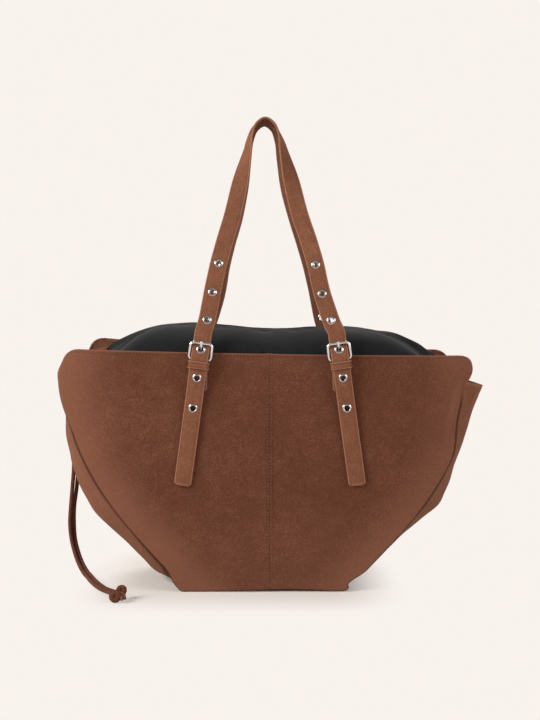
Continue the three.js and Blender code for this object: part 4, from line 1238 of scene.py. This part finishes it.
bore_half, strap_bore = 0.004, 0.0034
strap_frames = {}
for face in ("front", "back"):
    line = strap_path(arch_sway[face], arch_drop[face], arch_pull[face])
    along, facing, across = (turned(d, face) for d in strap_directions(line, turn_lines[face]))
    line = turned(line, face)
    level = 1 - smooth_step(np.abs(line[:, 2] - fold_height), fold_zone, 4 * fold_zone)
    slope = (level / np.where(level > 0, along[:, 2], 1))[:, None] * along
    level_across = across - across[:, 2:] * slope
    level_facing = facing - facing[:, 2:] * slope
    heights = np.sort(line[np.abs(line[:, 2] - fold_height) < fold_zone, 2])
    widest = int(np.argmax(np.diff(heights)))
    fold = (heights[widest] + heights[widest + 1]) / 2
    walked = np.arange(len(line)) * strap_step
    from_end = np.minimum(walked, walked[::-1])
    near = np.clip(1 - from_end / tail_round, 0, 1)
    narrowed = 1 - tail_round / strap_half_width * (1 - np.sqrt(1 - near ** 2))
    end_wear = np.clip(1 - from_end / end_rub, 0, 1)
    strap = band(face + "_strap", line, level_across, level_facing, strap_section,
                 [strap_suede, strap_lining], shrink=narrowed,
                 wear=np.maximum(strap_edge_finish_and_painted_shade[None, :], end_wear[:, None] * 1.2 - 0.2))
    section_size = len(strap_section)
    for polygon in strap.data.polygons:
        inside = [v % section_size >= len(strap_top_face) for v in polygon.vertices]
        polygon.material_index = 1 if all(inside) and len(inside) == 4 else 0

    nodes = [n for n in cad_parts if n.startswith(face) and "eyelet" in n]
    cutters = []
    for node in nodes:
        low, high = (Vector(c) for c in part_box(node))
        middle = (low + high) / 2
        nearest = int(np.argmin(np.linalg.norm(line - np.array(middle), axis=1)))
        basis = Matrix((across[nearest], facing[nearest], -along[nearest])).transposed()
        strap_frames[node] = Matrix.Translation(line[nearest]) @ basis.to_4x4()
        bpy.ops.mesh.primitive_cylinder_add(vertices=28, radius=strap_bore, depth=2 * bore_half)
        cutter = bpy.context.object
        cutter.data.transform(strap_frames[node] @ Matrix.Rotation(math.pi / 2, 4, "X"))
        cutters.append(cutter)
    for cutter in cutters:
        cut_away(strap, cutter)

    ups, places, directions = [], [], []
    for edge in (-1, 1):
        for outer in (-1, 1):
            row = line + across * (edge * stitch_across) + facing * (outer * stitch_out)
            middles, runs = along_line(row[3:-3])
            nearest = [int(np.argmin(np.linalg.norm(line - m, axis=1))) for m in middles]
            places += list(middles)
            directions += list(runs)
            ups += [facing[i] * outer for i in nearest]
    stitches = sewn_line(face + "_strap_stitches", places, directions, ups, thread.material)
    for piece in (strap, stitches):
        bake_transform(piece)
    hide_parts(face + "_handle_strap", *[f"{face}_{s}_strap_tail" for s in ("left", "right")])

# Eyelets: rolled nickel rings set through the straps, three on each leg, one under each prong
# and two on each tail.
eyelet_radius, eyelet_hole, eyelet_seat, eyelet_face = 0.0050, 0.0030, 0.0013, 0.00205
eyelet_profile = [
    (eyelet_hole, 0.0), (eyelet_hole, eyelet_seat), (eyelet_hole + 0.0002, eyelet_face - 0.0002),
    (eyelet_hole + 0.0006, eyelet_face), (eyelet_hole + 0.0011, eyelet_face),
    (eyelet_radius - 0.0004, eyelet_face - 0.0003), (eyelet_radius, eyelet_seat + 0.0001),
    (eyelet_radius - 0.0001, eyelet_seat - 0.00005), (eyelet_hole + 0.0003, eyelet_seat - 0.0001),
]
half_ring = eyelet_profile + [(r, -n) for r, n in eyelet_profile[::-1]]
turns = full_turn(28)
ring_out = np.stack([np.cos(turns), np.zeros(28), np.sin(turns)], axis=1)
eyelet_nickel = recoloured(nickel.material, "eyelet_nickel", (0.36, 0.36, 0.355), (0.52, 0.52, 0.51))
eyelet_pattern = band("eyelet", np.zeros((28, 3)), ring_out, (0, 1, 0), half_ring,
                      [eyelet_nickel], closed=True)
show_only(eyelet_pattern)
bpy.ops.object.shade_smooth_by_angle(angle=math.radians(50))
for node, place in strap_frames.items():
    eyelet = own_copy(eyelet_pattern, node + "_ring", place)
    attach(eyelet, "bag" if "tail" in node else node.split("_")[0] + "_handle")
    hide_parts(node)
bpy.data.objects.remove(eyelet_pattern)

# A loop over the gussets that does nothing.
for fold, gusset in gussets.items():
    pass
